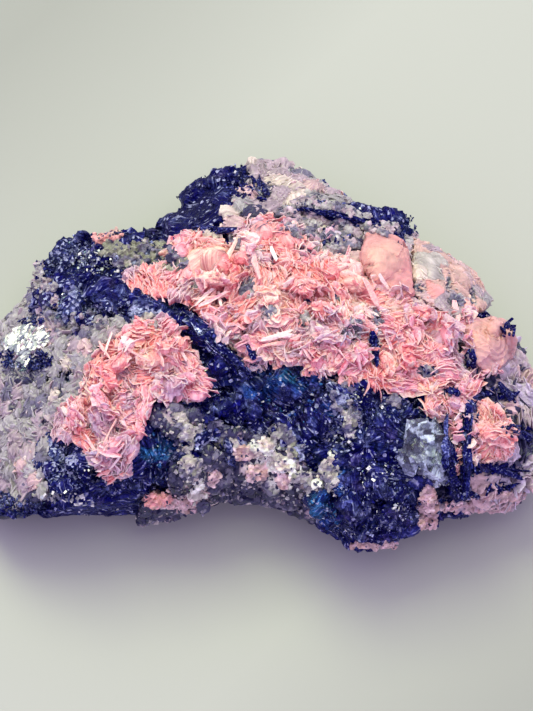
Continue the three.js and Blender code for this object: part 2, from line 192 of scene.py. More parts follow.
def scatter(name, count, seed, lean=-0.15):
    """Points and normals spread over a node, where it is open to the air and faces outwards by over lean."""
    rng = np.random.default_rng(seed)
    mesh = frame["nodes"][name].data
    corners = np.array([[mesh.vertices[i].co for i in p.vertices] for p in mesh.polygons])
    cross = np.cross(corners[:, 1] - corners[:, 0], corners[:, 2] - corners[:, 0])
    area = np.linalg.norm(cross, axis=1) / 2
    normal = unit(cross)
    middle = corners.mean(1)
    outer = (normal * unit(middle - MIDDLE)).sum(1) > lean
    outer &= (middle[:, 2] > UNDERSIDE) | (normal[:, 2] > -0.5)
    weight = np.where(outer, area, 0)
    chosen = rng.choice(len(area), count * 2, p=weight / weight.sum())
    a, b = rng.random((2, count * 2))
    a, b = np.where(a + b > 1, 1 - a, a), np.where(a + b > 1, 1 - b, b)
    c = corners[chosen]
    points = c[:, 0] + (c[:, 1] - c[:, 0]) * a[:, None] + (c[:, 2] - c[:, 0]) * b[:, None]
    normals = normal[chosen]
    clear = [
        specimen_tree.ray_cast(Vector(p + n * JUST_OFF), Vector(n), OPEN_AIR)[0] is None
        for p, n in zip(points, normals)
    ]
    keep = np.flatnonzero(clear)[:count]
    return points[keep], normals[keep], rng


def seen_at(px, py, tree=specimen_tree):
    """The place on the specimen that a pixel looks at, and its outward direction, as arrays."""
    place, normal, _, _ = tree.ray_cast(camera.location, sight(px, py))
    if place is None:
        return None
    return np.array(place), np.array(normal)


def set_tones(mesh, colours, shares, grain=None, dust=0.0):
    """Stores colours (N, 3), shares (N,), places in the grain (N, 3) and dust (N,) as point attributes."""
    count = len(colours)
    rgba = np.concatenate([np.clip(colours, 0, 1), np.ones((count, 1))], 1)
    grain = np.array([v.co for v in mesh.vertices]) if grain is None else grain
    for name, kind, field, values in (
        ("tone", "FLOAT_COLOR", "color", rgba), ("grain", "FLOAT_VECTOR", "vector", grain),
        ("reach", "FLOAT", "value", shares),
        ("dust", "FLOAT", "value", np.broadcast_to(dust, count)),
    ):
        mesh.attributes.new(name, kind, "POINT").data.foreach_set(field, np.array(values, np.float32).ravel())


KNEE = 45.5 * MM  # above this height blade tips are drawn in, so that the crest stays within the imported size
HIGHEST = 49.4 * MM


def settled(places):
    """Keeps points (N, 3) above the table top and below the crest."""
    over = np.maximum(places[:, 2] - KNEE, 0)
    drawn_in = KNEE + (HIGHEST - KNEE) * (1 - np.exp(-over / (HIGHEST - KNEE)))
    places[:, 2] = np.maximum(np.where(over > 0, drawn_in, places[:, 2]), 0)
    return places


def brought_in(made, operator, **settings):
    """Brings a new object into the scene, active, and runs one edit mode operator on all of its mesh."""
    bpy.context.scene.collection.objects.link(made)
    bpy.ops.object.select_all(action="DESELECT")
    bpy.context.view_layer.objects.active = made
    made.select_set(True)
    bpy.ops.object.mode_set(mode="EDIT")
    bpy.ops.mesh.select_all(action="SELECT")
    operator(**settings)
    bpy.ops.object.mode_set(mode="OBJECT")
    return made


def raw_mesh(name, points, faces):
    """A new object from arrays, every face turned outwards."""
    mesh = bpy.data.meshes.new(name)
    mesh.from_pydata(settled(points).tolist(), [], faces.tolist())
    made = bpy.data.objects.new(name, mesh)
    return brought_in(made, bpy.ops.mesh.normals_make_consistent, inside=False)


def made_mesh(name, points, faces, colours, shares):
    """A new object from arrays, with its colours and shares."""
    made = raw_mesh(name, points, faces)
    set_tones(made.data, colours, shares)
    return made


def finished(made, surface, slot_name, *stood_for):
    """Gives a piece its material, and lets it ride with the specimen. The slot name is not used."""
    made.data.materials.clear()
    made.data.materials.append(surface)
    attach(made, "root")
    if stood_for:
        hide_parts(*stood_for)


def places_of(made):
    """The points (N, 3) of a mesh."""
    places = np.empty(3 * len(made.data.vertices))
    made.data.vertices.foreach_get("co", places)
    return places.reshape(-1, 3)


def normals_of(made):
    """The outward directions (N, 3) at a mesh's points."""
    return np.array([n.vector for n in made.data.vertex_normals])


def spaced(points, normals, gap):
    """The points that stay when each keeps a gap to the ones before it."""
    kept = []
    for i, p in enumerate(points):
        if not kept or np.min(((points[kept] - p) ** 2).sum(1)) > gap * gap:
            kept.append(i)
    return points[kept], normals[kept]


def nearest(places, seeds):
    """For each place, the number of its nearest seed and how far off it is."""
    tree = KDTree(len(seeds))
    for i, seed in enumerate(seeds):
        tree.insert(seed, i)
    tree.balance()
    found = [tree.find(p)[1:] for p in places]
    return np.array([f[0] for f in found]), np.array([f[1] for f in found])


def melted(made, voxel):
    """Runs the overlapping parts of a mesh into one skin, whose faces are about a voxel wide."""
    remesh = made.modifiers.new("remesh", "REMESH")
    remesh.mode = "VOXEL"
    remesh.voxel_size = voxel
    bpy.ops.object.modifier_apply(modifier=remesh.name)
    return made


SAME_POINT = 0.002 * MM


def ground(name, new_name, voxel):
    """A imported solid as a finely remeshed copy, its loose triangles joined first."""
    made = bpy.data.objects.new(new_name, frame["nodes"][name].data.copy())
    brought_in(made, bpy.ops.mesh.remove_doubles, threshold=SAME_POINT)
    return melted(made, voxel)


def pushed(made, amount):
    """Moves each point of a mesh outwards by its own amount, and never under the table top."""
    places = settled(places_of(made) + normals_of(made) * amount[:, None])
    made.data.vertices.foreach_set("co", places.ravel())
    made.data.update()


HIGHEST_STEP = 0.35  # between facets, as a share of their width
CRACK = 0.4 * MM  # how far the surface sinks where no seed is near


def hackly(made, seeds, width, tilt, level, rng):
    """Breaks a surface into tilted facets, one round each seed. Returns the facet of each point."""
    places = places_of(made)
    facet, away = nearest(places, seeds)
    slope = rng.normal(0, tilt, (len(seeds), 3))
    step = ((places - seeds[facet]) * slope[facet]).sum(1) + rng.normal(0, level, len(seeds))[facet]
    step = np.clip(step, -HIGHEST_STEP * width, HIGHEST_STEP * width)
    pushed(made, np.where(away < 1.2 * width, step, -CRACK))
    return facet


WAVES = 9
FULL_TURN = 6.3  # radians, near enough


def ripple(points, size, seed):
    """A smooth random value at each point, from about -1 to 1, that changes over a size."""
    rng = np.random.default_rng(seed)
    waves = rng.normal(0, 2 / size, (WAVES, 3))
    return np.sin(points @ waves.T + rng.uniform(0, FULL_TURN, WAVES)).mean(1) * 2


BEND = 50  # how sharply the crystals of a domain curve, in 1 / metre


def grown(name, seed, gap, radiating, bursts, runs):
    """Crystal domains over a node: their centres, outward directions, runs, bends, and whether they radiate.

    bursts (px, py, clear mm) radiate and come first. runs (px, py, rx, ry, right, down) set the way that
    crystals run there, as seen by the camera.
    """
    points, normals, rng = scatter(name, 2500, seed)
    named = np.array([seen_at(px, py) for px, py, _ in bursts]).reshape(-1, 2, 3)
    for place, burst in zip(named[:, 0], bursts):
        clear = np.linalg.norm(points - place, axis=1) > burst[2] * MM
        points, normals = points[clear], normals[clear]
    points = np.concatenate([named[:, 0], points])
    centres, ways = spaced(points, np.concatenate([named[:, 1], normals]), gap)
    run = rng.normal(0, 1, ways.shape)
    for px, py, rx, ry, right, down in runs:
        ruled = near(to_pixels(centres), [(px, py, rx, ry)]) > 0.35
        run[ruled] = np.array([right, 0, 0]) - np.array(up_face) * down
    run = unit(run - ways * (run * ways).sum(1, keepdims=True))
    radiates = (np.arange(len(centres)) < len(bursts)) | (rng.random(len(centres)) < radiating)
    return centres, ways, run, rng.normal(0, BEND, len(centres)), radiates


STRAY, STRAY_RUN = 0.35 * MM, 3 * MM  # how far the grain strays to the side, and over what length
ROUND_BURST = 2.6 * MM  # how wide a radian of a burst is in the grain
STRETCH = 6  # the grain is this much longer than it is wide
DOMAIN_STEP = 0.9 * MM  # sets the grain of neighbouring domains apart


def flow(points, field):
    """Each point's domain, the way its crystals run, and its place in their grain: across, along, domain."""
    centres, ways, run, bends, radiates = field
    which, _ = nearest(points, centres)
    straight, bend, bursts = run[which], bends[which], radiates[which]
    aside = np.cross(ways[which], straight)
    offset = points - centres[which]
    across, ahead = (offset * aside).sum(1), (offset * straight).sum(1)
    outwards = across[:, None] * aside + ahead[:, None] * straight
    along = np.where(bursts[:, None], outwards, straight + (2 * bend * ahead)[:, None] * aside)
    wobble = STRAY * ripple(points, STRAY_RUN, len(centres))
    around = np.arctan2(across, ahead) * ROUND_BURST
    place = np.where(bursts, around, across - bend * ahead**2) + wobble
    shortened = np.where(bursts, np.hypot(across, ahead), ahead) / STRETCH
    return which, unit(along), np.stack([place, shortened, which * DOMAIN_STEP], 1)


def ridges(grain, pitch):
    """How near each place in the grain lies to the crest of a sharp ridge, 0 to 1."""
    return 1 - np.abs(2 * np.mod(grain[:, 0] / pitch, 1) - 1)


CHIP_CORNERS = np.array([[x, y, z] for z in (-1, 1) for y in (-1, 1) for x in (-1, 1)], float)
CHIP_FACES = np.array([[0, 2, 3, 1], [4, 5, 7, 6], [0, 1, 5, 4], [2, 6, 7, 3], [0, 4, 6, 2], [1, 3, 7, 5]])


def random_frames(axis, rng, lean, along):
    """Three unit vectors for each crystal, the first near its axis, leaning at random."""
    out = unit(axis + rng.normal(0, lean, axis.shape))
    side = rng.normal(0, 1, axis.shape) if along is None else np.cross(along, out)
    side = unit(np.cross(out, side))
    return out, side, np.cross(out, side)


def chips(points, normals, size, rng, lean, shape, along=None):
    """Six-sided splinters with uneven corners, size (N,) long, and shape's shares of that wide and high."""
    count = len(points)
    out, side, front = random_frames(normals, rng, lean, along)
    local = CHIP_CORNERS[None] * (1 + rng.uniform(-0.4, 0.25, (count, 8, 3))) * 0.5
    width, height = (size * share * rng.uniform(0.7, 1.3, count) for share in shape)
    local *= np.stack([size * rng.uniform(0.7, 1.4, count), width, height], 1)[:, None]
    places = points[:, None] + local[..., :1] * side[:, None] + local[..., 1:2] * front[:, None]
    places = places + local[..., 2:] * out[:, None]
    faces = CHIP_FACES[None] + 8 * np.arange(count)[:, None, None]
    return places.reshape(-1, 3), faces.reshape(-1, 4)


# Iron oxide, broken: a dark lustre over navy, whose gloss gives back blue light alone, so that its black
# faces look inky. Fine pale lines run with the grain, each flake has its own shade and polish, and pale grit
# lies between the flakes.
FLAKE = 0.7 * MM
HAIRLINE = 0.5 * MM  # the real lines are finer, and wouldn't show
DRIFT = 5 * MM  # how far apart the grittier places lie
hematite, tree = material("broken_hematite")
tone, dust, grain = (node(tree, "Attribute", attribute_name=name) for name in ("tone", "dust", "grain"))
place = node(tree, "TexCoord").outputs["Object"]
streak = node(tree, "TexNoise", {"Vector": grain.outputs["Vector"]}, Scale=1 / HAIRLINE, Detail=3.0)
lines = node(tree, "ValToRGB", {"Fac": streak})
lines.color_ramp.elements[0].position = 0.38
lines.color_ramp.elements[0].color = (0.12, 0.12, 0.16, 1)
lines.color_ramp.elements[1].position = 0.52
lines.color_ramp.elements[1].color = (0.9, 0.92, 0.95, 1)
lines.color_ramp.elements.new(0.61).color = (1.7, 1.7, 1.6, 1)
flake = node(tree, "TexVoronoi", {"Vector": place}, Scale=1 / FLAKE)
parts = node(tree, "SeparateColor", {"Color": flake.outputs["Color"]})
shade = node(tree, "MapRange", {"Value": parts.outputs["Red"]}, To_Min=0.3, To_Max=1.8)
lined = node(tree, "VectorMath", {0: tone, 1: lines}, operation="MULTIPLY")
dark = node(tree, "VectorMath", {0: lined, 1: shade}, operation="MULTIPLY")
drift = node(tree, "TexNoise", {"Vector": place}, Scale=1 / DRIFT, Detail=2.0)
gritty = node(tree, "Math", {0: drift, 1: dust.outputs["Fac"]}, operation="MULTIPLY")
speck = node(tree, "Math", {0: parts.outputs["Green"], 1: gritty}, operation="ADD")
grit = node(tree, "Math", {0: speck, 1: 1.0}, operation="GREATER_THAN")
hair = node(tree, "MapRange", {"Value": streak}, From_Min=0.61, From_Max=0.7, To_Max=1.0)
light = node(tree, "Math", {0: grit, 1: hair}, operation="MAXIMUM")
skin = node(tree, "Mix", {0: light, 6: dark, 7: linear("#a4a9c6")}, data_type="RGBA")
polish = node(tree, "MapRange", {"Value": parts.outputs["Blue"]}, To_Min=0.25, To_Max=0.65)
cracks = node(tree, "Math", {0: streak, 1: flake.outputs["Distance"]}, operation="ADD")
relief = node(tree, "Bump", {"Height": cracks}, Strength=0.8, Distance=0.4 * MM)
shader = node(
    tree, "BsdfPrincipled", {"Base Color": skin.outputs[2], "Roughness": polish, "Normal": relief},
    Metallic=0.3, Specular_IOR_Level=1.0, Specular_Tint=(0.04, 0.04, 1.0, 1.0),
)
node(tree, "OutputMaterial", {"Surface": shader})

# Soft round patches of the rock's face, as the camera sees them: (px, py, rx, ry).
BLUE_TARNISH = [
    (265, 392, 22, 16), (316, 410, 16, 14), (155, 445, 22, 28), (327, 512, 22, 14), (300, 385, 30, 12),
]
# Flakes in these patches are coloured white and pale: painted glints.
PAINTED_GLINTS = [(68, 498, 28, 6), (375, 470, 18, 12), (397, 508, 6, 5), (265, 462, 12, 18)]
GREY_GRIT = [
    (75, 255, 30, 14), (90, 316, 60, 12), (60, 300, 20, 20), (68, 462, 24, 16), (342, 418, 18, 28),
    (250, 440, 30, 14), (200, 440, 26, 16), (285, 450, 20, 20), (130, 262, 24, 10),
]
DARK_FACES = [(200, 205, 50, 38), (200, 345, 14, 14), (392, 228, 18, 14)]
STEELY = [(85, 275, 42, 32)]
ROCK_PATCHES = [
    (STEELY, 0.5, {"steel": 5, "coal": 3, "ash": 3}),
    (GREY_GRIT, 0.6, {"ash": 5, "steel": 4, "coal": 4, "pale": 1, "green": 1, "white": 0.4}),
    (DARK_FACES, 0.9, {"black": 5, "coal": 1, "steel": 0.3}),
    (BLUE_TARNISH, 0.8, {"blue": 5, "teal": 4, "slate": 1}),
    # Painted glints: white and pale flakes where the light glints.
    (PAINTED_GLINTS, 0.7, {"white": 3, "pale": 2, "green": 1}),
]
ROCK_MIX = {"navy": 5, "black": 5, "violet": 2, "ink": 4, "coal": 3, "steel": 4}

SMOOTH_HORN = [(200, 200, 72, 52), (60, 510, 120, 24), (350, 222, 76, 24)]
LEFT_SHOULDER = (36, 254, 15, 15)
HORN_FOOT = (172, 226, 13, 12)
SHOULDER_CUT, FOOT_SWELL = -2.0, 2.4  # mm
FIN_RUNS = [  # (px, py, rx, ry, right, down)
    (222, 345, 46, 24, 75, 55), (252, 352, 14, 16, 13, 14), (330, 215, 40, 10, 78, 15),
    (385, 225, 26, 12, 46, 20), (455, 452, 20, 48, 2, 90), (300, 395, 60, 26, 40, 30),
    (90, 290, 50, 40, 60, -35),
]
COMBED = [run[:4] for run in FIN_RUNS[:5]]
DOMAIN = 6.5 * MM  # between the middles of the rock's crystal domains
BREAK, CHIP = 5 * MM, 1.9 * MM  # how wide the large and the small broken faces are
COMB = 1.7 * MM  # between the ridges of plates that stand side by side
ROCK_VOXEL = 0.68 * MM
field = grown("hematite_rock", 12, DOMAIN, 0.15, (), FIN_RUNS)
rock = ground("hematite_rock", "hematite_rock_body", ROCK_VOXEL)
for place, rise in ((LEFT_SHOULDER, SHOULDER_CUT), (HORN_FOOT, FOOT_SWELL)):
    pushed(rock, near(to_pixels(places_of(rock)), [place]) * rise * MM)
seeds, _, rng = scatter("hematite_rock", 6000, 10, -0.6)
packed = places_of(rock)
hackly(rock, spaced(seeds, seeds, BREAK)[0], BREAK, 0.4, 0.5 * MM, rng)
seeds, _ = spaced(seeds, seeds, CHIP)
facet = hackly(rock, seeds, CHIP, 0.3, 0.08 * MM, rng)
calm = 0.8 * near(to_pixels(packed), SMOOTH_HORN)[:, None]
rock.data.vertices.foreach_set("co", (packed * calm + places_of(rock) * (1 - calm)).ravel())
rock.data.update()
GROUND_PATCHES = [
    ([(300, 402, 46, 28), (330, 500, 30, 20)], 0.5, {"dusk": 2, "blue": 3, "violet": 2}),
    (BLUE_TARNISH, 0.7, {"blue": 3, "teal": 1, "navy": 2}),
    (GREY_GRIT, 0.5, {"ash": 2, "steel": 4, "coal": 3}),
]
_, _, grain = flow(places_of(rock), field)
pixels = to_pixels(places_of(rock))
pushed(rock, ridges(grain, COMB) * (0.15 + 0.5 * near(pixels, COMBED)) * MM)
colours = coloured(seeds, IRON, ROCK_MIX, GROUND_PATCHES, rng)[facet]
colours *= (1.1 + 0.4 * ripple(places_of(rock), 6 * MM, 13) - 0.75 * near(pixels, DARK_FACES))[:, None]
set_tones(rock.data, colours, np.zeros(len(colours)), grain, 0.08 + 0.7 * near(pixels, GREY_GRIT))
finished(rock, hematite, "hematite", "hematite_rock")

# Flakes that stand in the rock's face, about a third of them flat platelets and the rest splinters.
FLAKE_MIX = {
    "navy": 22, "black": 26, "ink": 8, "dusk": 7, "steel": 15, "ash": 11, "slate": 7, "pale": 5, "white": 0.8,
}
points, normals, rng = scatter("hematite_rock", 15500, 11, -0.3)
kept = rng.random(len(points)) > near(to_pixels(points), [*SMOOTH_HORN, LEFT_SHOULDER, HORN_FOOT])
points, normals = points[kept], normals[kept]
_, along, _ = flow(points, field)
SMALLEST_FLAKE = 0.2 * MM
sizes = rng.gamma(2, 0.16, len(points)) * MM + SMALLEST_FLAKE
flat = rng.random(len(points)) < 0.35
for name, some, shape, lean in (
    ("hematite_platelets", flat, (0.7, 0.25), 0.35), ("hematite_splinters", ~flat, (0.22, 0.5), 0.4)
):
    grown_along = unit(along[some] + rng.normal(0, 0.35, (some.sum(), 3)))
    places, faces = chips(points[some], normals[some], sizes[some], rng, lean, shape, grown_along)
    colours = coloured(points[some], IRON, FLAKE_MIX, ROCK_PATCHES, rng)
    made = made_mesh(name, places, faces, np.repeat(colours, 8, 0), np.zeros(len(places)))
    finished(made, hematite, "hematite")

# ---- Pink calcite ----
# Thin blades of pink calcite, stacked like the pages of a wavy book or opened into roses and sheaves. Each
# blade is a closed sheet, painted darker at its root as shade, and the blades of a crust are joined as one
# piece.

# A blade is three rows of four places. RISE, OUTLINE and TAPER go by row, ACROSS and CREST by place.
RISE = np.array([0, 0.55, 1.0])
ACROSS = np.array([-1.0, -0.35, 0.35, 1.0])
CREST = np.array([0.68, 1.0, 0.97, 0.72])  # how high the top edge stands
OUTLINE = np.array([0.85, 1.0, 0.86])  # how long the row is
TAPER = np.array([1.0, 0.95, 0.8])  # how thick it is
PINK = {
    "coral": "#fba1a3", "salmon": "#fdb2b2", "peach": "#fccbbf", "rose": "#f8b5c2", "blush": "#fddbdb",
    "mauve": "#d5b2c4", "white": "#fff3f2", "lilac": "#c9bbd3", "grey": "#a79eb0", "dark": "#2f2858",
}


def blade_faces():
    """The faces of one blade: a front and a back sheet of 3 by 4 points, and the edge between them."""
    front = np.arange(12).reshape(3, 4)
    back = front + 12
    faces = []
    for i in range(2):
        for j in range(3):
            faces.append([front[i, j], front[i, j + 1], front[i + 1, j + 1], front[i + 1, j]])
            faces.append([back[i, j], back[i + 1, j], back[i + 1, j + 1], back[i, j + 1]])
    ring = [(0, 0), (1, 0), (2, 0), (2, 1), (2, 2), (2, 3), (1, 3), (0, 3), (0, 2), (0, 1)]
    for here, after in zip(ring, ring[1:] + ring[:1]):
        faces.append([front[here], front[after], back[after], back[here]])
    return np.array(faces)


BLADE_FACES = blade_faces()


def blades(roots, up, across, high, long, thick, curl, rng):
    """Blades from directions (N, 3) and sizes (N,). Returns places and reach, 24 to a blade, and faces."""
    count = len(roots)
    out = np.cross(across, up)
    half = 0.5 * long[:, None] * OUTLINE * rng.uniform(0.85, 1.1, (count, 3))
    lateral = half[:, :, None] * (ACROSS + rng.uniform(-0.15, 0.15, (count, 3, 4)))
    ragged = CREST * rng.uniform(0.75, 1.2, (count, 1, 4))
    crest = RISE[:, None] * (ragged * RISE[:, None] + 1 - RISE[:, None])
    rise = high[:, None, None] * crest
    bow = (curl * long)[:, None, None] * (ACROSS**2 - 0.4)
    wave = rng.normal(0, 0.05, (count, 3, 4)) * long[:, None, None] * RISE[:, None]
    middle = (
        roots[:, None, None]
        + rise[..., None] * up[:, None, None]
        + lateral[..., None] * across[:, None, None]
        + (bow + wave)[..., None] * out[:, None, None]
    )
    slim = 0.5 * thick[:, None, None] * TAPER[:, None] * (1 - 0.5 * np.abs(ACROSS))
    slim = slim[..., None] * out[:, None, None]
    places = np.concatenate([(middle + slim).reshape(count, 12, 3), (middle - slim).reshape(count, 12, 3)], 1)
    faces = BLADE_FACES[None] + 24 * np.arange(count)[:, None, None]
    reach = np.tile(np.repeat(RISE, 4), 2 * count)
    return places.reshape(-1, 3), faces.reshape(-1, 4), reach


def laths(spans, palette, rng, lift=2.2 * MM, thick=0.45, tree=specimen_tree):
    """Single long blades, each from one pixel to another: (x, y, to x, to y, width in mm, tone).

    They are lifted towards the camera, and thick is a share of their width.
    """
    spans = [s for s in spans if seen_at(*s[:2], tree) and seen_at(*s[2:4], tree)]
    ends = np.array([[seen_at(*s[:2], tree)[0], seen_at(*s[2:4], tree)[0]] for s in spans])
    ends = ends + np.array(towards_lens) * lift
    along = ends[:, 1] - ends[:, 0]
    up = unit(along)
    across = unit(np.cross(up, np.array(towards_lens) + rng.normal(0, 0.35, up.shape)))
    width = np.array([s[4] for s in spans]) * MM
    length = np.linalg.norm(along, axis=1)
    middles = ends.mean(1) - across * width[:, None] / 2
    curl = rng.normal(0, 0.02, len(up))
    places, faces, reach = blades(middles, across, up, width, length, width * thick, curl, rng)
    colours = np.array([linear(palette[s[5]])[:3] for s in spans])
    return places, faces, np.repeat(colours, 24, 0), reach * 0.3 + 0.7


def joined(parts):
    """Several (places, faces, colours, reach) as one."""
    start = np.cumsum([0] + [len(part[0]) for part in parts])
    faces = np.concatenate([part[1] + s for part, s in zip(parts, start)])
    places, colours, reach = (np.concatenate([part[i] for part in parts]) for i in (0, 2, 3))
    return places, faces, colours, reach


def tinted(made, colours, rng):
    """Gives each blade its colour, a little lighter or darker than its neighbour's."""
    places, faces, reach = made
    colours = colours * rng.normal(1, 0.1, (len(places) // 24, 1))
    return places, faces, np.repeat(colours, 24, 0), reach


# Calcite, pink with manganese: waxy and see-through at the edge, so light enters it a millimetre or so. Its
# colour is painted deep coral in its hollows and at the roots of its blades, as shade, and almost white along
# its crests and blade tips, as painted highlight, with fine lines along the run of its crystals.
LINE = 0.55 * MM
pink_calcite, tree = material("pink_manganese_calcite")
tone, reach, grain = (node(tree, "Attribute", attribute_name=name) for name in ("tone", "reach", "grain"))
streak = node(tree, "TexNoise", {"Vector": grain.outputs["Vector"]}, Scale=1 / LINE, Detail=4.0)
lift = node(tree, "MapRange", {"Value": streak}, From_Min=0.3, From_Max=0.7, To_Min=-0.3, To_Max=0.3)
level = node(tree, "Math", {0: reach.outputs["Fac"], 1: lift}, operation="ADD")
# Painted shade: a low reach, at a blade's root or in a groove of the crust, darkens the tone to deep coral.
depth = node(tree, "ValToRGB", {"Fac": level})
depth.color_ramp.elements[0].position = 0.05
depth.color_ramp.elements[0].color = linear("#cc8799")
depth.color_ramp.elements[1].position = 0.6
depth.color_ramp.elements[1].color = (1, 1, 1, 1)
tone_with_painted_shade = node(tree, "VectorMath", {0: depth, 1: tone}, operation="MULTIPLY")
# Painted highlight: the highest reaches are mixed towards a pale peach.
painted_crest_highlight = node(tree, "MapRange", {"Value": level}, From_Min=0.6, From_Max=1.1, To_Max=0.6)
tone_with_painted_light = node(tree, "Mix", {0: painted_crest_highlight, 6: tone_with_painted_shade, 7: linear("#ffe6e0")}, data_type="RGBA")
lines = node(tree, "Bump", {"Height": streak}, Strength=0.7, Distance=0.5 * MM)
shader = node(
    tree, "BsdfPrincipled", {"Base Color": tone_with_painted_light.outputs[2], "Normal": lines}, Roughness=0.42, IOR=1.55,
    Subsurface_Weight=0.35, Subsurface_Scale=0.6 * MM, Subsurface_Radius=(1.0, 0.6, 0.6),
)
node(tree, "OutputMaterial", {"Surface": shader})


def knobbly(made, seeds, width, height, rng):
    """Raises a round lump at each seed."""
    lump, away = nearest(places_of(made), seeds)
    tall = height * rng.uniform(0.4, 1.3, len(seeds))
    pushed(made, tall[lump] * np.clip(1 - (away / width) ** 2, -0.4, 1))


ROOT = 0.6 * MM  # how deep a blade stands in its ground


def crust(name, seed, surface, slot_name, tones, form, bursts=(), runs=(), swells=(), bare=(), spans=()):
    """A crust of intergrown crystals: ridged lumps, each with its own run, and blades along them.

    tones is (palette, mix, patches). form gives, in mm: gap between lumps, rise of a lump, comb and pitch of
    its ridges, voxel, every (between blades), and long, high and thick of a blade. Its lean is in radians,
    and radiating is the share of lumps that open like a rose.
    swells (px, py, rx, ry, mm) are raised, smooth and free of blades. bare places are sunk, and painted dark
    as shade. spans are long single blades, as laths takes them.
    """
    palette, mix, patches = tones
    field = grown(name, seed, form["gap"] * MM, form["radiating"], bursts, runs)
    base = ground(name, name + "_ground", form["voxel"] * MM)
    rng = np.random.default_rng(seed)
    knobbly(base, field[0], 0.62 * form["gap"] * MM, form["rise"] * MM, rng)
    for *patch, rise in swells:
        pushed(base, near(to_pixels(places_of(base)), [patch]) * rise * MM)
    swollen = [swell[:4] for swell in swells]
    places = places_of(base)
    pixels = to_pixels(places)
    which, _, grain = flow(places, field)
    calm, barren = near(pixels, swollen), near(pixels, bare)
    comb = ridges(grain, form["pitch"] * MM) * (1 - 0.8 * calm)
    hollows = ripple(places, 2.2 * MM, seed)
    pushed(base, ((comb + 0.4 * hollows) * form["comb"] - 0.8 * barren) * MM)
    lump_tones = coloured(field[0], palette, mix, patches, rng)
    # Painted light and shade: where the ripple stands out the tone is a little lighter, where it sinks a
    # little darker.
    colours = lump_tones[which] * (1 + 0.08 * hollows)[:, None]
    # Painted shade: most points of the bare gaps take dark grey and navy.
    painted_gap_shade = rng.random(len(barren)) < barren * 1.2
    colours[painted_gap_shade] = pick(palette, {"grey": 1, "dark": 2}, painted_gap_shade.sum(), rng)
    # The reach is higher on ridge crests, swells and raised ripples: painted light there and painted shade in
    # the grooves.
    set_tones(base.data, colours, 0.25 + 0.45 * comb + 0.2 * calm + 0.15 * hollows, grain)
    finished(base, surface, slot_name, name)

    points, normals, rng = scatter(name, 14000, seed + 1)
    pixels = to_pixels(points)
    empty = np.maximum(near(pixels, bare) * 1.4, 1.1 * near(pixels, swollen))
    grows = rng.random(len(points)) > empty
    points, normals = spaced(points[grows], normals[grows], form["every"] * MM)
    which, along, _ = flow(points, field)
    count = len(points)
    roots = places_of(base)[nearest(points, places_of(base))[0]]
    lean = rng.normal(0, form["lean"], len(field[0]))[which] + rng.normal(0, 0.22, count)
    aside = np.cross(normals, along)
    centre_off = np.linalg.norm(points - field[0][which], axis=1)
    opened = np.where(field[4][which], centre_off / (form["gap"] * MM), 0)
    up = normals * np.cos(lean)[:, None] + aside * np.sin(lean)[:, None] + along * (0.9 * opened)[:, None]
    up = unit(up + rng.normal(0, 0.12, up.shape))
    across = along + rng.normal(0, 0.22, up.shape)
    across = unit(across - up * (across * up).sum(1, keepdims=True))
    high = form["high"] * rng.uniform(0.3, 1.5, count) * MM + ROOT
    long = form["long"] * rng.gamma(5, 0.2, count) * MM
    thick = form["thick"] * rng.uniform(0.7, 1.4, count) * MM
    made = blades(roots - up * ROOT, up, across, high, long, thick, rng.normal(0, 0.1, count), rng)
    own = coloured(points, palette, mix, patches, rng)
    colours = np.where(rng.random((count, 1)) < 0.3, own, lump_tones[which])
    parts = [tinted(made, colours, rng)]
    if spans:
        parts.append(laths(spans, palette, rng))
    finished(made_mesh(name + "_blades", *joined(parts)), surface, slot_name)


# Gaps between the roses and sheaves, where the pink crust is sunk and painted dark as shade, as (px, py, rx,
# ry).
CREVICES = [
    (247, 288, 8, 12), (268, 312, 7, 6), (304, 322, 5, 6), (352, 332, 9, 13), (374, 345, 6, 18),
    (427, 373, 9, 6), (457, 302, 7, 6), (468, 360, 7, 9), (333, 298, 4, 6), (307, 302, 4, 4),
    (196, 284, 5, 6), (234, 243, 6, 9), (378, 318, 6, 7), (395, 400, 8, 6), (222, 300, 6, 8),
    (275, 262, 7, 9), (300, 218, 34, 12), (258, 208, 20, 8), (338, 240, 22, 14), (310, 250, 14, 6),
    (452, 392, 8, 8), (478, 372, 8, 6),
]
PEACH_PLACES = [(195, 262, 22, 16), (205, 275, 14, 12), (325, 365, 26, 10), (290, 290, 18, 12)]
CORAL_PLACES = [
    (300, 275, 34, 22), (330, 340, 40, 22), (215, 325, 30, 20), (405, 330, 30, 30), (230, 290, 18, 16),
]
PALE_PLACES = [
    (350, 265, 26, 20), (360, 310, 12, 16), (345, 355, 14, 16), (165, 275, 18, 14), (255, 240, 14, 12),
]
MAUVE_PLACES = [
    (195, 312, 14, 8), (330, 330, 16, 12), (430, 300, 20, 20), (452, 350, 14, 20), (240, 310, 14, 8),
]
PINK_PATCHES = [
    ([(265, 335, 60, 26)], 0.5, {"blush": 3, "peach": 3, "salmon": 3}),
    (PEACH_PLACES, 0.8, {"peach": 5, "salmon": 2}),
    (CORAL_PLACES, 0.7, {"coral": 5, "salmon": 5, "rose": 1}),
    (PALE_PLACES, 0.7, {"blush": 3, "peach": 2, "rose": 2}),
    (MAUVE_PLACES, 0.7, {"mauve": 3, "rose": 2, "lilac": 1}),
]
PINK_FORM = {
    "gap": 4.6, "rise": 0.8, "comb": 0.28, "pitch": 1.1, "voxel": 0.46, "radiating": 0.35,
    "every": 0.8, "long": 3.2, "high": 1.0, "thick": 0.18, "lean": 0.4,
}
PINK_MIX = {"salmon": 5, "rose": 5, "peach": 2, "coral": 3, "blush": 1.5, "mauve": 2.5}
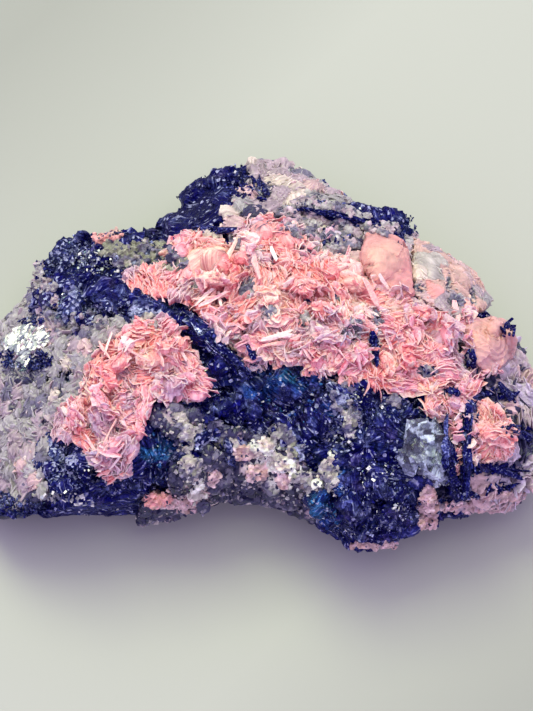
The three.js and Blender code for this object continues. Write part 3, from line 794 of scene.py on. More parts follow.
crust(
    "main_pink_blades", 21, pink_calcite, "pink_calcite", (PINK, PINK_MIX, PINK_PATCHES), PINK_FORM,
    bursts=[
        (303, 284, 7.5), (213, 290, 7.5), (288, 352, 6), (404, 330, 6), (350, 272, 5.5), (335, 352, 5.5),
        (235, 262, 5), (425, 395, 5), (262, 318, 5),
    ],
    runs=[
        (300, 338, 36, 10, 60, -14), (222, 306, 20, 10, 40, -6), (258, 268, 8, 16, 6, 24),
        (440, 330, 16, 24, 10, 30),
    ],
    swells=[
        (200, 262, 25, 18, 1.8), (262, 232, 12, 13, 1.6), (288, 238, 10, 15, 1.6), (241, 252, 9, 12, 1.2),
        (352, 270, 22, 14, 1.0), (318, 366, 16, 8, 0.8), (178, 250, 12, 9, 1.0), (350, 335, 12, 14, 0.6),
        (250, 289, 8, 12, 0.5), (366, 288, 14, 12, 0.8), (222, 262, 8, 12, 0.8),
    ],
    bare=CREVICES,
    spans=[
        (253, 254, 259, 281, 1.3, "salmon"), (270, 246, 277, 262, 0.9, "white"),
        (260, 341, 296, 330, 1.0, "blush"), (262, 347, 330, 334, 1.1, "salmon"),
        (362, 262, 375, 290, 1.6, "rose"), (190, 300, 228, 296, 0.8, "salmon"),
        (196, 308, 232, 290, 0.8, "rose"), (345, 262, 352, 240, 1.0, "rose"),
        (214, 288, 194, 306, 0.8, "blush"), (216, 290, 206, 312, 0.8, "salmon"),
        (218, 290, 222, 310, 0.7, "blush"), (238, 236, 226, 262, 1.0, "peach"),
        (366, 250, 372, 276, 1.2, "mauve"), (384, 330, 392, 352, 1.0, "rose"),
    ],
)
LEFT_MAUVE = [(105, 440, 34, 30), (190, 385, 14, 14), (88, 350, 12, 14)]
LEFT_PINK_PATCHES = [
    ([(160, 362, 20, 16), (172, 385, 20, 14)], 0.8, {"peach": 3, "blush": 4, "white": 1}),
    ([(105, 345, 26, 16), (110, 380, 26, 16)], 0.8, {"coral": 4, "salmon": 4}),
    (LEFT_MAUVE, 0.75, {"mauve": 4, "rose": 3, "lilac": 1, "grey": 1}),
]
LEFT_PINK_MIX = {"salmon": 4, "rose": 4, "coral": 3, "blush": 2, "mauve": 3}
crust(
    "left_pink_blades", 22, pink_calcite, "pink_calcite", (PINK, LEFT_PINK_MIX, LEFT_PINK_PATCHES),
    {**PINK_FORM, "gap": 4.0, "long": 2.8},
    bursts=[(122, 350, 6), (168, 380, 6), (108, 458, 5), (72, 415, 5)],
    runs=[(140, 352, 22, 12, 30, -34), (100, 400, 20, 14, 40, 34), (120, 440, 18, 20, 10, -30)],
    swells=[(162, 361, 14, 11, 1.6), (173, 392, 10, 12, 1.5), (112, 368, 14, 10, 0.8)],
    bare=[(140, 398, 4, 3), (88, 425, 4, 4), (118, 428, 4, 4), (104, 446, 4, 3), (122, 340, 3, 3)],
    spans=[
        (80, 382, 121, 418, 1.7, "blush"), (58, 442, 98, 404, 1.5, "rose"),
        (60, 405, 80, 424, 1.1, "blush"), (143, 371, 173, 337, 0.9, "salmon"),
        (173, 335, 188, 364, 0.9, "rose"), (92, 425, 130, 452, 0.7, "rose"),
        (96, 460, 118, 418, 0.7, "salmon"), (110, 470, 134, 438, 0.7, "blush"),
        (84, 432, 108, 470, 0.7, "rose"), (120, 420, 140, 440, 0.8, "blush"),
        (150, 372, 158, 345, 0.8, "blush"), (128, 350, 150, 362, 0.9, "coral"),
        (98, 340, 112, 362, 0.7, "salmon"), (112, 332, 104, 356, 0.7, "blush"),
        (132, 338, 126, 362, 0.7, "salmon"),
    ],
)
crust(
    "pink_fan", 23, pink_calcite, "pink_calcite",
    (PINK, {"rose": 4, "salmon": 4, "mauve": 4}, [([(478, 480, 20, 16)], 0.9, {"mauve": 4, "lilac": 2})]),
    {**PINK_FORM, "gap": 12, "every": 0.6, "long": 2.8, "high": 0.7, "thick": 0.14, "lean": 0.25},
    bursts=[(492, 441, 12)],
)

# ---- Grey, cream and white calcite ----
# Massive calcite round the blades: cloudy, mauve, grey, cream and white, with dust of the dark rock in it.
# Most of these crusts are a lumpy ground with small blades on it. The lower one is chipped and strewn with
# faceted grains.
STONE = {
    "grey": "#aca7ac", "mauve": "#b7a4b0", "rose": "#dcbabe", "cream": "#e2d2ca", "white": "#f3f4ea",
    "olive": "#8f8f80", "smoke": "#77738b", "dark": "#2b2a55", "night": "#14133f", "sky": "#b7cbe6",
    "lilac": "#cbbdd2", "bone": "#c2bab6", "blush": "#eecfd0", "shell": "#d6afa9", "coral": "#f2a9a8",
}

# Calcite in the mass: cloudy, so light enters it a millimetre or two, with a waxy gloss on each facet and
# dark specks where dust of the rock has grown in. Its tone is painted lighter on crests and swells and darker
# in grooves and hollows, as light and shade.
CLOUD = 1.1 * MM
SPECK = 0.7 * MM
cloudy_calcite, tree = material("cloudy_massive_calcite")
tone, dust, grain, reach = (
    node(tree, "Attribute", attribute_name=name) for name in ("tone", "dust", "grain", "reach")
)
cloud = node(tree, "TexNoise", {"Vector": grain.outputs["Vector"]}, Scale=1 / CLOUD, Detail=6.0)
veil = node(tree, "MapRange", {"Value": cloud}, From_Min=0.3, From_Max=0.7, To_Min=0.7, To_Max=1.15)
# Painted light and shade: a low reach darkens the tone to half, a high one lightens it a little.
depth = node(tree, "MapRange", {"Value": reach.outputs["Fac"]}, From_Max=0.7, To_Min=0.5, To_Max=1.05)
shaded = node(tree, "VectorMath", {0: tone, 1: depth}, operation="MULTIPLY")
veiled = node(tree, "VectorMath", {0: shaded, 1: veil}, operation="MULTIPLY")
cell = node(tree, "TexVoronoi", {"Vector": node(tree, "TexCoord").outputs["Object"]}, Scale=1 / SPECK)
parts = node(tree, "SeparateColor", {"Color": cell.outputs["Color"]})
speck = node(tree, "Math", {0: parts.outputs["Green"], 1: dust.outputs["Fac"]}, operation="ADD")
grit = node(tree, "Math", {0: speck, 1: 1.0}, operation="GREATER_THAN")
skin = node(tree, "Mix", {0: grit, 6: veiled, 7: linear("#343354")}, data_type="RGBA")
relief = node(tree, "Bump", {"Height": cloud}, Strength=0.6, Distance=0.4 * MM)
shader = node(
    tree, "BsdfPrincipled", {"Base Color": skin.outputs[2], "Normal": relief}, Roughness=0.38, IOR=1.55,
    Subsurface_Weight=0.3, Subsurface_Scale=1.0 * MM, Subsurface_Radius=(1.0, 0.8, 0.8),
)
node(tree, "OutputMaterial", {"Surface": shader})

STONE_FORM = {
    "gap": 4.2, "rise": 1.2, "comb": 0.3, "pitch": 1.2, "voxel": 0.52, "radiating": 0.4,
    "every": 1.3, "long": 1.8, "high": 0.5, "thick": 0.3, "lean": 0.7,
}
TOP_PATCHES = [
    ([(285, 185, 26, 14), (300, 205, 20, 12)], 0.7, {"cream": 3, "rose": 4, "mauve": 3}),
    ([(338, 207, 14, 9), (262, 195, 10, 14), (205, 205, 20, 12)], 0.8, {"smoke": 3, "dark": 3, "night": 1}),
    ([(345, 245, 24, 16)], 0.6, {"smoke": 4, "grey": 3, "dark": 3}),
    ([(218, 228, 6, 5), (268, 211, 6, 5)], 0.9, {"sky": 3, "white": 2}),
]
crust(
    "top_grey_calcite", 31, cloudy_calcite, "grey_calcite",
    (STONE, {"mauve": 6, "grey": 3, "rose": 3, "cream": 1.5, "smoke": 1.5}, TOP_PATCHES), STONE_FORM,
    bare=[(262, 192, 7, 10), (245, 178, 8, 8), (300, 216, 16, 5), (318, 196, 6, 5)],
)
LEFT_PATCHES = [
    ([(20, 506, 60, 12)], 1.0, {"night": 4, "dark": 3, "smoke": 1}),
    ([(25, 470, 26, 20), (50, 330, 20, 14)], 0.7, {"rose": 4, "mauve": 3, "grey": 2}),
    ([(14, 436, 14, 12)], 0.7, {"lilac": 3, "grey": 3}),
    ([(20, 372, 24, 10), (50, 372, 16, 10)], 0.8, {"dark": 3, "smoke": 2, "olive": 1}),
    ([(85, 350, 16, 12)], 0.7, {"rose": 3, "olive": 2, "mauve": 2}),
]
crust(
    "left_grey_calcite", 32, cloudy_calcite, "grey_calcite",
    (STONE, {"grey": 7, "mauve": 3, "cream": 1, "smoke": 2}, LEFT_PATCHES),
    {
        **STONE_FORM, "gap": 3.0, "rise": 0.9, "every": 1.15, "long": 1.9, "high": 0.75, "lean": 0.9,
        "voxel": 0.55,
    },
    swells=[(10, 508, 30, 12, 2.4)],
    bare=[(22, 372, 18, 7), (60, 392, 4, 6), (44, 420, 4, 5), (12, 408, 5, 4), (60, 450, 4, 5)],
)
RIGHT_PATCHES = [
    ([(480, 505, 46, 7), (427, 510, 10, 20)], 0.95, {"rose": 5, "cream": 1, "mauve": 2}),
    ([(515, 432, 20, 12), (506, 332, 10, 10), (500, 470, 14, 8)], 0.8, {"night": 4, "dark": 2}),
]
crust(
    "right_grey_calcite", 34, cloudy_calcite, "mauve_calcite",
    (STONE, {"mauve": 5, "rose": 2, "lilac": 4, "night": 3, "dark": 2}, RIGHT_PATCHES),
    {
        **STONE_FORM, "gap": 4.4, "rise": 0.9, "comb": 0.5, "every": 1.35, "long": 3.1, "high": 1.2,
        "lean": 0.8,
    },
    swells=[(427, 512, 9, 20, 1.8), (478, 480, 14, 10, 1.2), (500, 360, 10, 14, 0.6)],
    bare=[(515, 430, 18, 6), (470, 375, 8, 8), (500, 395, 12, 6), (500, 470, 20, 5), (440, 372, 12, 5)],
)


GRAINY_VOXEL = 0.52 * MM
KNOB_GAP, KNOB_WIDTH, KNOB_RISE = 4 * MM, 2.6 * MM, 1.2 * MM


def grainy(name, seed, cell, grain_gap, grain_size, mix, grain_mix, patches, dusty, slot_name):
    """A granular crust: a chipped ground with cells of several tones, and small grains in it. Sizes in mm."""
    base = ground(name, name + "_ground", GRAINY_VOXEL)
    seeds, _, rng = scatter(name, 7000, seed)
    wide, _ = spaced(seeds, seeds, KNOB_GAP)
    knobbly(base, wide, KNOB_WIDTH, KNOB_RISE, rng)
    seeds, _ = spaced(seeds, seeds, cell * MM)
    which = hackly(base, seeds, cell * MM, 0.4, 0.22 * MM, rng)
    colours = coloured(seeds, STONE, mix, patches, rng)[which]
    set_tones(base.data, colours, np.full(len(which), 0.5), None, dusty)
    finished(base, cloudy_calcite, slot_name, name)
    points, normals, rng = scatter(name, 16000, seed + 1)
    points, normals = spaced(points, normals, grain_gap * MM)
    roots = places_of(base)[nearest(points, places_of(base))[0]]
    sizes = grain_size * rng.uniform(0.5, 1.4, len(points)) * MM
    places, faces = chips(roots, normals, sizes, rng, 0.9, (0.7, 0.6))
    colours = coloured(points, STONE, grain_mix, patches, rng) * rng.normal(1, 0.1, (len(points), 1))
    shares = np.full(len(places), 0.6)
    grains = made_mesh(name + "_grains", places, faces, np.repeat(colours, 8, 0), shares)
    finished(grains, cloudy_calcite, slot_name)


WHITE_PATCHES = [
    ([(232, 465, 16, 14), (215, 485, 12, 8), (290, 470, 8, 10)], 0.85, {"night": 3, "dark": 3, "smoke": 1}),
    ([(196, 497, 12, 12), (161, 497, 12, 10)], 0.9, {"rose": 5, "cream": 2, "white": 1}),
    ([(193, 473, 12, 12)], 0.8, {"olive": 3, "cream": 2, "white": 2}),
    ([(265, 462, 16, 20), (310, 480, 20, 18)], 0.6, {"white": 5, "cream": 2}),
    ([(327, 512, 18, 10)], 0.8, {"sky": 2, "dark": 3, "smoke": 2}),
]
grainy(
    "lower_white_calcite", 33, 1.6, 1.0, 0.8, {"dark": 4, "night": 4, "smoke": 2, "mauve": 1},
    {"smoke": 4, "grey": 3, "bone": 3, "dark": 4, "night": 2}, WHITE_PATCHES, 0.25, "white_calcite",
)

# Cloudy crystals that run into each other along the right edge, smooth, streaked shell pink, bone and mauve.
SHELL_PLACES = [(448, 296, 14, 9), (462, 314, 12, 14), (425, 300, 14, 12)]
CREAM_PATCHES = [
    ([(430, 266, 20, 14)], 0.9, {"cream": 2, "bone": 4, "shell": 4, "mauve": 1}),
    ([(461, 277, 12, 13)], 0.9, {"bone": 4, "mauve": 4, "shell": 2}),
    (SHELL_PLACES, 0.9, {"shell": 5, "rose": 2, "coral": 2, "mauve": 2}),
    ([(484, 311, 10, 14)], 0.9, {"mauve": 5, "grey": 2}),
]
crust(
    "cream_crystals", 35, cloudy_calcite, "cream_calcite",
    (STONE, {"shell": 5, "rose": 2, "bone": 2, "mauve": 4}, CREAM_PATCHES),
    {
        **STONE_FORM, "gap": 3.4, "rise": 0.4, "pitch": 0.9, "radiating": 0.3, "voxel": 0.46, "every": 1.5,
        "high": 0.3, "thick": 0.35, "lean": 0.6,
    },
    swells=[
        (430, 267, 17, 13, 1.6), (461, 277, 10, 11, 1.0), (484, 311, 8, 11, 1.2), (463, 314, 9, 12, 1.0),
        (438, 291, 11, 7, 0.8),
    ],
    bare=[(456, 301, 7, 5), (449, 283, 3, 8), (473, 297, 4, 8), (420, 288, 5, 5), (474, 318, 2, 10)],
)

# ---- Salmon calcite ----
# A smooth boss and a layered rosette of salmon calcite, which grew out from a centre in fine skins. The
# imported solids are swollen and dented, ringed round the crown where the skins end, and lumpy at the skirt.

# Calcite with a smooth waxy skin, softly clouded. It is painted paler where the surface stands out, as light,
# and darker where it sinks, as shade.
SKIN_CLOUD = 1.5 * MM
smooth_calcite, tree = material("smooth_salmon_calcite")
tone, reach = (node(tree, "Attribute", attribute_name=name) for name in ("tone", "reach"))
place = node(tree, "TexCoord").outputs["Object"]
cloud = node(tree, "TexNoise", {"Vector": place}, Scale=1 / SKIN_CLOUD, Detail=8.0)
# Painted light: the reach lifts the level, so that parts that stand out are paler.
level = node(tree, "Math", {0: cloud, 1: reach.outputs["Fac"]}, operation="ADD")
veil = node(tree, "MapRange", {"Value": level}, From_Min=0.6, From_Max=1.25, To_Min=0.7, To_Max=1.0)
veiled = node(tree, "VectorMath", {0: tone, 1: veil}, operation="MULTIPLY")
relief = node(tree, "Bump", {"Height": cloud}, Strength=0.45, Distance=0.7 * MM)
shader = node(
    tree, "BsdfPrincipled", {"Base Color": veiled, "Normal": relief}, Roughness=0.45, IOR=1.55,
    Subsurface_Weight=0.4, Subsurface_Scale=1.2 * MM, Subsurface_Radius=(1.0, 0.6, 0.5),
)
node(tree, "OutputMaterial", {"Surface": shader})

BOSS_VOXEL = 0.4 * MM
BOSS_FACE = 5 * MM  # how wide the flattish faces are
DENT, PIT = 4 * MM, 0.9 * MM  # how wide the shallow dents and the small pits are
CROWN_EDGE, SKIRT_EDGE = 3.5 * MM, 5 * MM  # how far from the crown's middle
LEAF = 1.4 * MM  # from one ring to the next
LUMP = 2.4 * MM  # how wide the lumps of the skirt are


def boss(name, seed, lit_crown_tone, shaded_side_tone, swells, crown, ring):
    """A swelling of calcite with a flat crown and darker, pinker sides, the darkness painted shade, dented,
    and ringed like a cabbage.
    """
    base = ground(name, name + "_skin", BOSS_VOXEL)
    seeds, _, rng = scatter(name, 400, seed, -0.8)
    for *patch, rise in swells:
        pushed(base, near(to_pixels(places_of(base)), [patch]) * rise * MM)
    hackly(base, spaced(seeds, seeds, BOSS_FACE)[0], BOSS_FACE, 0.12, 0.15 * MM, rng)
    places = places_of(base)
    dents, pits = ripple(places, DENT, seed), ripple(places, PIT, seed + 1)
    middle = seen_at(*crown[:2])[0]
    away = np.linalg.norm(places - middle, axis=1) + 0.7 * MM * dents
    skirt = np.clip(away / SKIRT_EDGE - 1.1, 0, 1)
    rings = ridges(away[:, None], LEAF) * np.clip(away / CROWN_EDGE - 0.4, 0, 1) * (1 - skirt)
    lumps = skirt * ripple(places, LUMP, seed + 2)
    pushed(base, (0.15 * dents + 0.08 * pits + ring * rings + 0.5 * lumps) * MM)
    # Painted light and shade: the crown takes the lighter tone and the sides the darker, pinker one.
    top = np.clip(near(to_pixels(places), [crown]) * 1.3 + 0.15 * dents, 0, 1)[:, None]
    tones = np.array(linear(lit_crown_tone)[:3]) * top + np.array(linear(shaded_side_tone)[:3]) * (1 - top)
    # The reach, higher where pits, rings and lumps stand out, paints them paler as light.
    set_tones(base.data, tones, 0.45 + 0.2 * pits + 0.5 * (rings - 0.5) * ring + 0.3 * lumps)
    finished(base, smooth_calcite, "salmon_calcite", name)


boss(
    "salmon_crystal", 61, "#e8b4a6", "#dd9a9c", [(383, 258, 21, 19, 1.6), (386, 270, 22, 26, 0.9)],
    (383, 257, 21, 17), 0.12,
)
boss(
    "salmon_rosette", 62, "#e4aea4", "#dba8aa", [(485, 338, 19, 20, 1.2), (494, 354, 14, 16, 0.8)],
    (485, 336, 17, 15), 0.42,
)

# ---- Intergrowths ----
# Where one mineral gives way to another, crystals of each sit on the other: pale clumps of calcite grains on
# the dark rock, mauve and pink blades in the seams, grey crystals and iron splinters in the crevices.
GROUNDS = ("_body", "_ground", "_skin")
grown_tree = ray_tree([piece for piece in bpy.data.objects if piece.name.endswith(GROUNDS)])


def spots_seen(places, gap, rng):
    """Places that the camera sees inside patches (px, py, rx, ry), a gap apart, and their outward ways."""
    found = []
    for px, py, rx, ry in places:
        count = int(10 * rx * ry * (PIXEL / gap) ** 2) + 3
        turn, out = rng.uniform(0, 2 * math.pi, count), np.sqrt(rng.random(count))
        pixels = zip(px + rx * out * np.cos(turn), py + ry * out * np.sin(turn))
        found += filter(None, (seen_at(x, y, grown_tree) for x, y in pixels))
    points, normals = (np.array(a) for a in zip(*found))
    return spaced(points, normals, gap)


def own_or_clump(points, palette, mix, gap, rng):
    """Tones of a mix that gather in clumps, with a third of the crystals going their own way."""
    clumps, _ = spaced(points, points, gap)
    alone = rng.random((len(points), 1)) < 0.35
    own = pick(palette, mix, len(points), rng)
    shared = pick(palette, mix, len(clumps), rng)[nearest(points, clumps)[0]]
    return np.where(alone, own, shared) * rng.normal(1, 0.12, (len(points), 1))


CLUMP = 2.2 * MM  # between the middles of patches of one tone
MASS_VOXEL = 0.43 * MM
MASS_FACET = 0.75 * MM  # how wide the grains' broken faces are


def mass(name, seed, slot_name, groups):
    """Granular calcite that fills parts of the rock's face. A group is (grain in mm, mix, islands, places).

    The lower islands is, the fewer gaps there are in the group's patches.
    """
    rng = np.random.default_rng(seed)
    parts, seeds, tones = [], [], []
    for size, mix, islands, places in groups:
        points, normals = spots_seen(places, 0.5 * size * MM, rng)
        kept = ripple(points, 2 * MM, seed + len(seeds)) > islands
        points, normals = points[kept], normals[kept]
        sizes = size * rng.uniform(0.6, 1.4, len(points)) * MM
        spots, faces = chips(points + 0.1 * sizes[:, None] * normals, normals, sizes, rng, 0.8, (0.8, 0.7))
        parts.append((spots, faces, np.zeros((len(spots), 3)), np.zeros(len(spots))))
        seeds.append(points)
        tones.append(own_or_clump(points, STONE, mix, CLUMP, rng))
    base = melted(raw_mesh(name, *joined(parts)[:2]), MASS_VOXEL)
    places = places_of(base)
    cells = rng.permutation(places)[:6000]
    cells, _ = spaced(cells, cells, MASS_FACET)
    which = hackly(base, cells, MASS_FACET, 0.7, 0.16 * MM, rng)
    seeds, tones = np.concatenate(seeds), np.concatenate(tones)
    colours = (tones[nearest(cells, seeds)[0]] * rng.normal(1, 0.13, (len(cells), 1)))[which]
    set_tones(base.data, colours, 0.5 + 0.35 * ripple(places, 0.8 * MM, seed), None, 0.04)
    finished(base, cloudy_calcite, slot_name)


OLIVE_SADDLE = [(150, 253, 26, 12), (174, 262, 15, 9), (128, 260, 16, 10), (114, 250, 14, 8)]
EDGE_GREY = [(36, 270, 8, 18), (48, 300, 10, 22), (66, 322, 14, 12), (44, 245, 6, 10), (90, 322, 18, 8)]
BEIGE_PLACES = [
    (178, 420, 9, 8), (186, 440, 8, 14), (192, 468, 13, 11), (208, 428, 12, 6), (228, 440, 14, 6),
    (345, 398, 14, 16), (355, 425, 10, 14), (282, 430, 12, 9), (305, 482, 10, 12), (325, 478, 14, 14),
    (296, 446, 8, 8), (150, 320, 9, 8),
]
WHITE_PLACES = [(262, 448, 11, 12), (272, 462, 8, 10), (288, 468, 8, 14), (331, 455, 3, 6), (198, 492, 9, 7)]
PINKISH_PLACES = [
    (243, 454, 9, 8), (256, 472, 9, 8), (284, 480, 8, 7), (182, 503, 11, 7), (214, 478, 5, 8),
    (427, 510, 9, 24),
]
CORAL_TABS = [(156, 499, 13, 7), (108, 236, 15, 7), (250, 453, 3, 3)]
PALE_RIM = [(470, 506, 34, 5), (512, 498, 18, 7), (385, 545, 34, 3)]
SLAB_RIM = [
    (304, 203, 12, 6), (324, 206, 14, 6), (344, 212, 12, 5), (362, 219, 10, 4), (387, 230, 11, 7),
    (372, 227, 10, 5),
]
TOP_GREY = [(320, 228, 36, 12), (345, 248, 16, 10), (300, 212, 18, 7), (386, 229, 14, 6), (350, 218, 16, 5)]
mass(
    "granular_calcite_fillings", 51, "grey_calcite",
    [
        (1.1, {"olive": 6, "smoke": 3, "bone": 1, "dark": 2}, -0.7, OLIVE_SADDLE),
        (1.3, {"mauve": 3, "grey": 3, "smoke": 3}, -0.2, EDGE_GREY),
        (1.1, {"bone": 3, "grey": 4, "smoke": 4, "olive": 1, "dark": 1}, -0.15, BEIGE_PLACES),
        (1.2, {"white": 4, "cream": 2, "bone": 2}, -0.6, WHITE_PLACES),
        (1.3, {"shell": 3, "rose": 4, "blush": 3}, -0.9, PINKISH_PLACES),
        (1.5, {"coral": 5, "shell": 2}, -1.2, CORAL_TABS),
        (1.1, {"mauve": 3, "rose": 4, "shell": 2}, -0.7, PALE_RIM),
        (1.1, {"grey": 3, "mauve": 3, "smoke": 4}, -0.2, TOP_GREY),
        (1.3, {"mauve": 5, "grey": 3, "smoke": 1}, -0.7, SLAB_RIM),
        (1.2, {"smoke": 5, "grey": 3, "lilac": 1}, -0.3, CREVICES[:14]),
    ],
)


TUFT = 2.5 * MM  # how wide a clump of one tone is


def strewn(name, kind, seed, surface, slot_name, palette, groups):
    """Blades or splinters on what the camera sees. A group is (gap and size in mm, mix, places)."""
    rng = np.random.default_rng(seed)
    parts = []
    for gap, size, mix, places in groups:
        points, normals = spots_seen(places, gap * MM, rng)
        tones = own_or_clump(points, palette, mix, TUFT, rng)
        sizes = size * rng.uniform(0.55, 1.4, len(points)) * MM
        points = points + normals * (0.25 * MM * ripple(points, TUFT, seed) + 0.2 * sizes)[:, None]
        if kind == "splinter":
            spots, faces = chips(points, normals, sizes, rng, 0.7, (0.35, 0.35))
        else:
            ways = unit(normals + rng.normal(0, 0.4, normals.shape))
            across = unit(np.cross(ways, rng.normal(0, 1, ways.shape)))
            roots = points - ways * 0.7 * MM
            high, thick = 0.5 * sizes + 0.9 * MM, 0.14 * sizes
            curl = rng.normal(0, 0.1, len(points))
            spots, faces, _ = blades(roots, ways, across, high, sizes, thick, curl, rng)
        corners = len(spots) // len(points)
        parts.append((spots, faces, np.repeat(tones, corners, 0), np.full(len(spots), 0.6)))
    finished(made_mesh(name, *joined(parts)), surface, slot_name)


strewn(
    "pink_and_mauve_tufts", "blade", 52, pink_calcite, "pink_calcite", PINK,
    [
        (
            0.9, 2.0, {"mauve": 4, "grey": 2, "lilac": 2},
            [(350, 332, 12, 14), (330, 315, 10, 6), (455, 335, 8, 12), (440, 318, 12, 6), (232, 312, 8, 6)],
        ),
        (
            0.9, 2.2, {"rose": 4, "mauve": 3, "blush": 2},
            [(398, 294, 12, 6), (412, 318, 9, 8), (466, 318, 7, 10), (468, 350, 5, 14), (486, 372, 16, 4)],
        ),
        (
            1.1, 2.0, {"mauve": 3, "blush": 2, "lilac": 1},
            [(312, 246, 14, 8), (330, 232, 10, 6), (290, 226, 8, 6)],
        ),
        (
            0.8, 2.2, {"mauve": 4, "rose": 4, "blush": 2},
            [(457, 444, 5, 30), (440, 422, 6, 14), (474, 440, 5, 26), (455, 410, 12, 8)],
        ),
        (
            0.6, 2.8, {"lilac": 2, "mauve": 3, "rose": 5, "blush": 2},
            [(214, 320, 10, 6), (229, 334, 13, 9), (242, 346, 13, 10), (256, 357, 12, 8)],
        ),
        (
            0.7, 1.8, {"rose": 3, "salmon": 5, "blush": 3, "coral": 1},
            [(288, 361, 18, 5), (318, 371, 16, 5), (344, 380, 14, 5)],
        ),
    ],
)
strewn(
    "dark_intergrown_splinters", "splinter", 53, hematite, "hematite", IRON,
    [
        (
            0.7, 1.2, {"black": 4, "navy": 3},
            [(307, 301, 3, 3), (333, 298, 3, 6), (374, 348, 5, 14), (427, 371, 9, 3)],
        ),
        (
            0.9, 1.3, {"black": 3, "navy": 3, "dusk": 2},
            [(240, 186, 16, 12), (262, 194, 6, 10), (332, 236, 16, 10)],
        ),
        (
            0.8, 1.6, {"black": 4, "slate": 1},
            [(508, 330, 7, 8), (468, 360, 6, 8), (457, 302, 5, 4), (450, 391, 8, 4)],
        ),
        (
            0.9, 1.7, {"black": 5, "navy": 2},
            [(505, 395, 14, 5), (515, 430, 16, 5), (496, 468, 30, 4), (505, 488, 20, 3)],
        ),
        (
            0.45, 1.2, {"steel": 4, "navy": 3, "coal": 4, "ash": 1},
            [(8, 358, 8, 8), (39, 361, 13, 9), (33, 322, 12, 3)],
        ),
        (0.55, 1.0, {"green": 5, "ash": 2}, [(19, 367, 8, 6)]),
        (0.65, 1.5, {"navy": 4, "steel": 4, "coal": 3, "ash": 1}, [(18, 508, 34, 8), (6, 500, 12, 6)]),
    ],
)

# Large single blades that stand clear of the rest, as (px, py, to px, to py, width in mm, tone).
LONG_BLADES = [
    (368, 275, 400, 298, 2.3, "blush"), (362, 277, 378, 308, 1.7, "salmon"),
    (440, 317, 464, 333, 3.0, "mauve"), (378, 274, 388, 290, 1.1, "blush"),
    (452, 300, 458, 322, 1.8, "rose"), (466, 300, 468, 320, 1.8, "salmon"),
]
parts = laths(LONG_BLADES, PINK, np.random.default_rng(55), 1.5 * MM, 0.3, grown_tree)
finished(made_mesh("long_pink_blades", *parts), pink_calcite, "pink_calcite")


def bundle(x0, y0, x1, y1, spread, count, width, extra, rng):
    """Spans for dark plates, side by side along the line from pixel x0, y0 to x1, y1. Widths in mm."""
    tones = ["black", "black", "navy", "navy", "ink", *extra]
    along = np.array([x1 - x0, y1 - y0], float)
    aside = np.array([-along[1], along[0]]) / np.hypot(*along)
    begin = rng.uniform(0, 0.6, (count, 1))
    end = np.minimum(1, begin + rng.uniform(0.3, 0.6, (count, 1)))
    start = np.array([x0, y0])
    a = start + along * begin + aside * rng.normal(0, spread / 2, (count, 1))
    b = start + along * end + aside * rng.normal(0, spread / 2, (count, 1))
    widths = width * rng.uniform(0.6, 1.4, count)
    return [(*p, *q, w, tones[rng.integers(len(tones))]) for p, q, w in zip(a, b, widths)]


# Thin plates of hematite, grown side by side along the rock's fin and slab, and up the sheaf on the right.
# Each row is a bundle: (x0, y0, x1, y1, spread, count, width, extra tones).
LOW_PLATES = [
    (184, 320, 252, 378, 7, 50, 1.0, ["slate", "violet", "pale"]), (245, 342, 258, 362, 5, 10, 1.0, []),
    (292, 207, 370, 222, 3, 18, 0.9, []), (360, 218, 406, 238, 5, 18, 1.1, []),
    (398, 232, 403, 250, 4, 10, 1.2, []), (256, 176, 270, 202, 4, 8, 1.0, []),
    (190, 228, 240, 232, 4, 10, 1.0, ["dusk"]), (472, 468, 530, 476, 5, 10, 0.9, []),
    (478, 490, 528, 484, 4, 8, 0.8, []), (476, 400, 500, 388, 3, 6, 1.0, []),
]
HIGH_PLATES = [
    (446, 412, 445, 470, 3, 12, 1.2, ["dusk"]), (449, 438, 452, 496, 5, 18, 1.3, ["dusk"]),
    (466, 403, 467, 496, 3, 16, 1.2, ["dusk"]), (505, 425, 530, 440, 6, 12, 1.2, []),
    (468, 348, 474, 372, 5, 10, 1.4, []), (495, 385, 516, 402, 4, 8, 1.2, []),
    (448, 388, 458, 396, 3, 6, 1.2, []), (372, 330, 376, 366, 3, 8, 1.1, ["slate"]),
]
rng = np.random.default_rng(54)
for name, lift, lines in (
    ("hematite_plates", 1.2 * MM, LOW_PLATES), ("hematite_plates_right", 2.0 * MM, HIGH_PLATES)
):
    spans = [span for line in lines for span in bundle(*line, rng)]
    places, faces, colours, _ = laths(spans, IRON, rng, lift, 0.5)
    finished(made_mesh(name, places, faces, colours, np.zeros(len(places))), hematite, "hematite")

# ---- Silvery specular hematite ----
# A patch of bright mirror flakes, cracked like dried mud, with smaller glints of the same over the rock. They
# are thin plates of iron oxide that grew flat on the dark rock. Their near-white colour is a painted
# reflection and painted glints, besides the real reflection of the window in them.

# Specular hematite, as it grew: a pale, bright lustre, its polish and brightness uneven with a fine grit. The
# pale colour is partly a painted reflection.
GRITS_PER_METRE = 900  # the real grit is finer, and wouldn't show
MIRROR = {"bright": "#fcfdf8", "dull": "#b2b8c2", "dark": "#747a8e"}
silver, tree = material("silvery_specular_hematite")
tone = node(tree, "Attribute", attribute_name="tone")
place = node(tree, "TexCoord").outputs["Object"]
gritty = node(tree, "TexNoise", {"Vector": place}, Scale=GRITS_PER_METRE, Detail=3.0)
level = node(tree, "MapRange", {"Value": gritty}, From_Min=0.3, From_Max=0.7, To_Min=0.6, To_Max=1.0)
bright = node(tree, "VectorMath", {0: tone, 1: level}, operation="MULTIPLY")
polish = node(tree, "MapRange", {"Value": gritty}, To_Min=0.5, To_Max=0.25)
shader = node(tree, "BsdfPrincipled", {"Base Color": bright, "Roughness": polish}, Metallic=0.25)
node(tree, "OutputMaterial", {"Surface": shader})

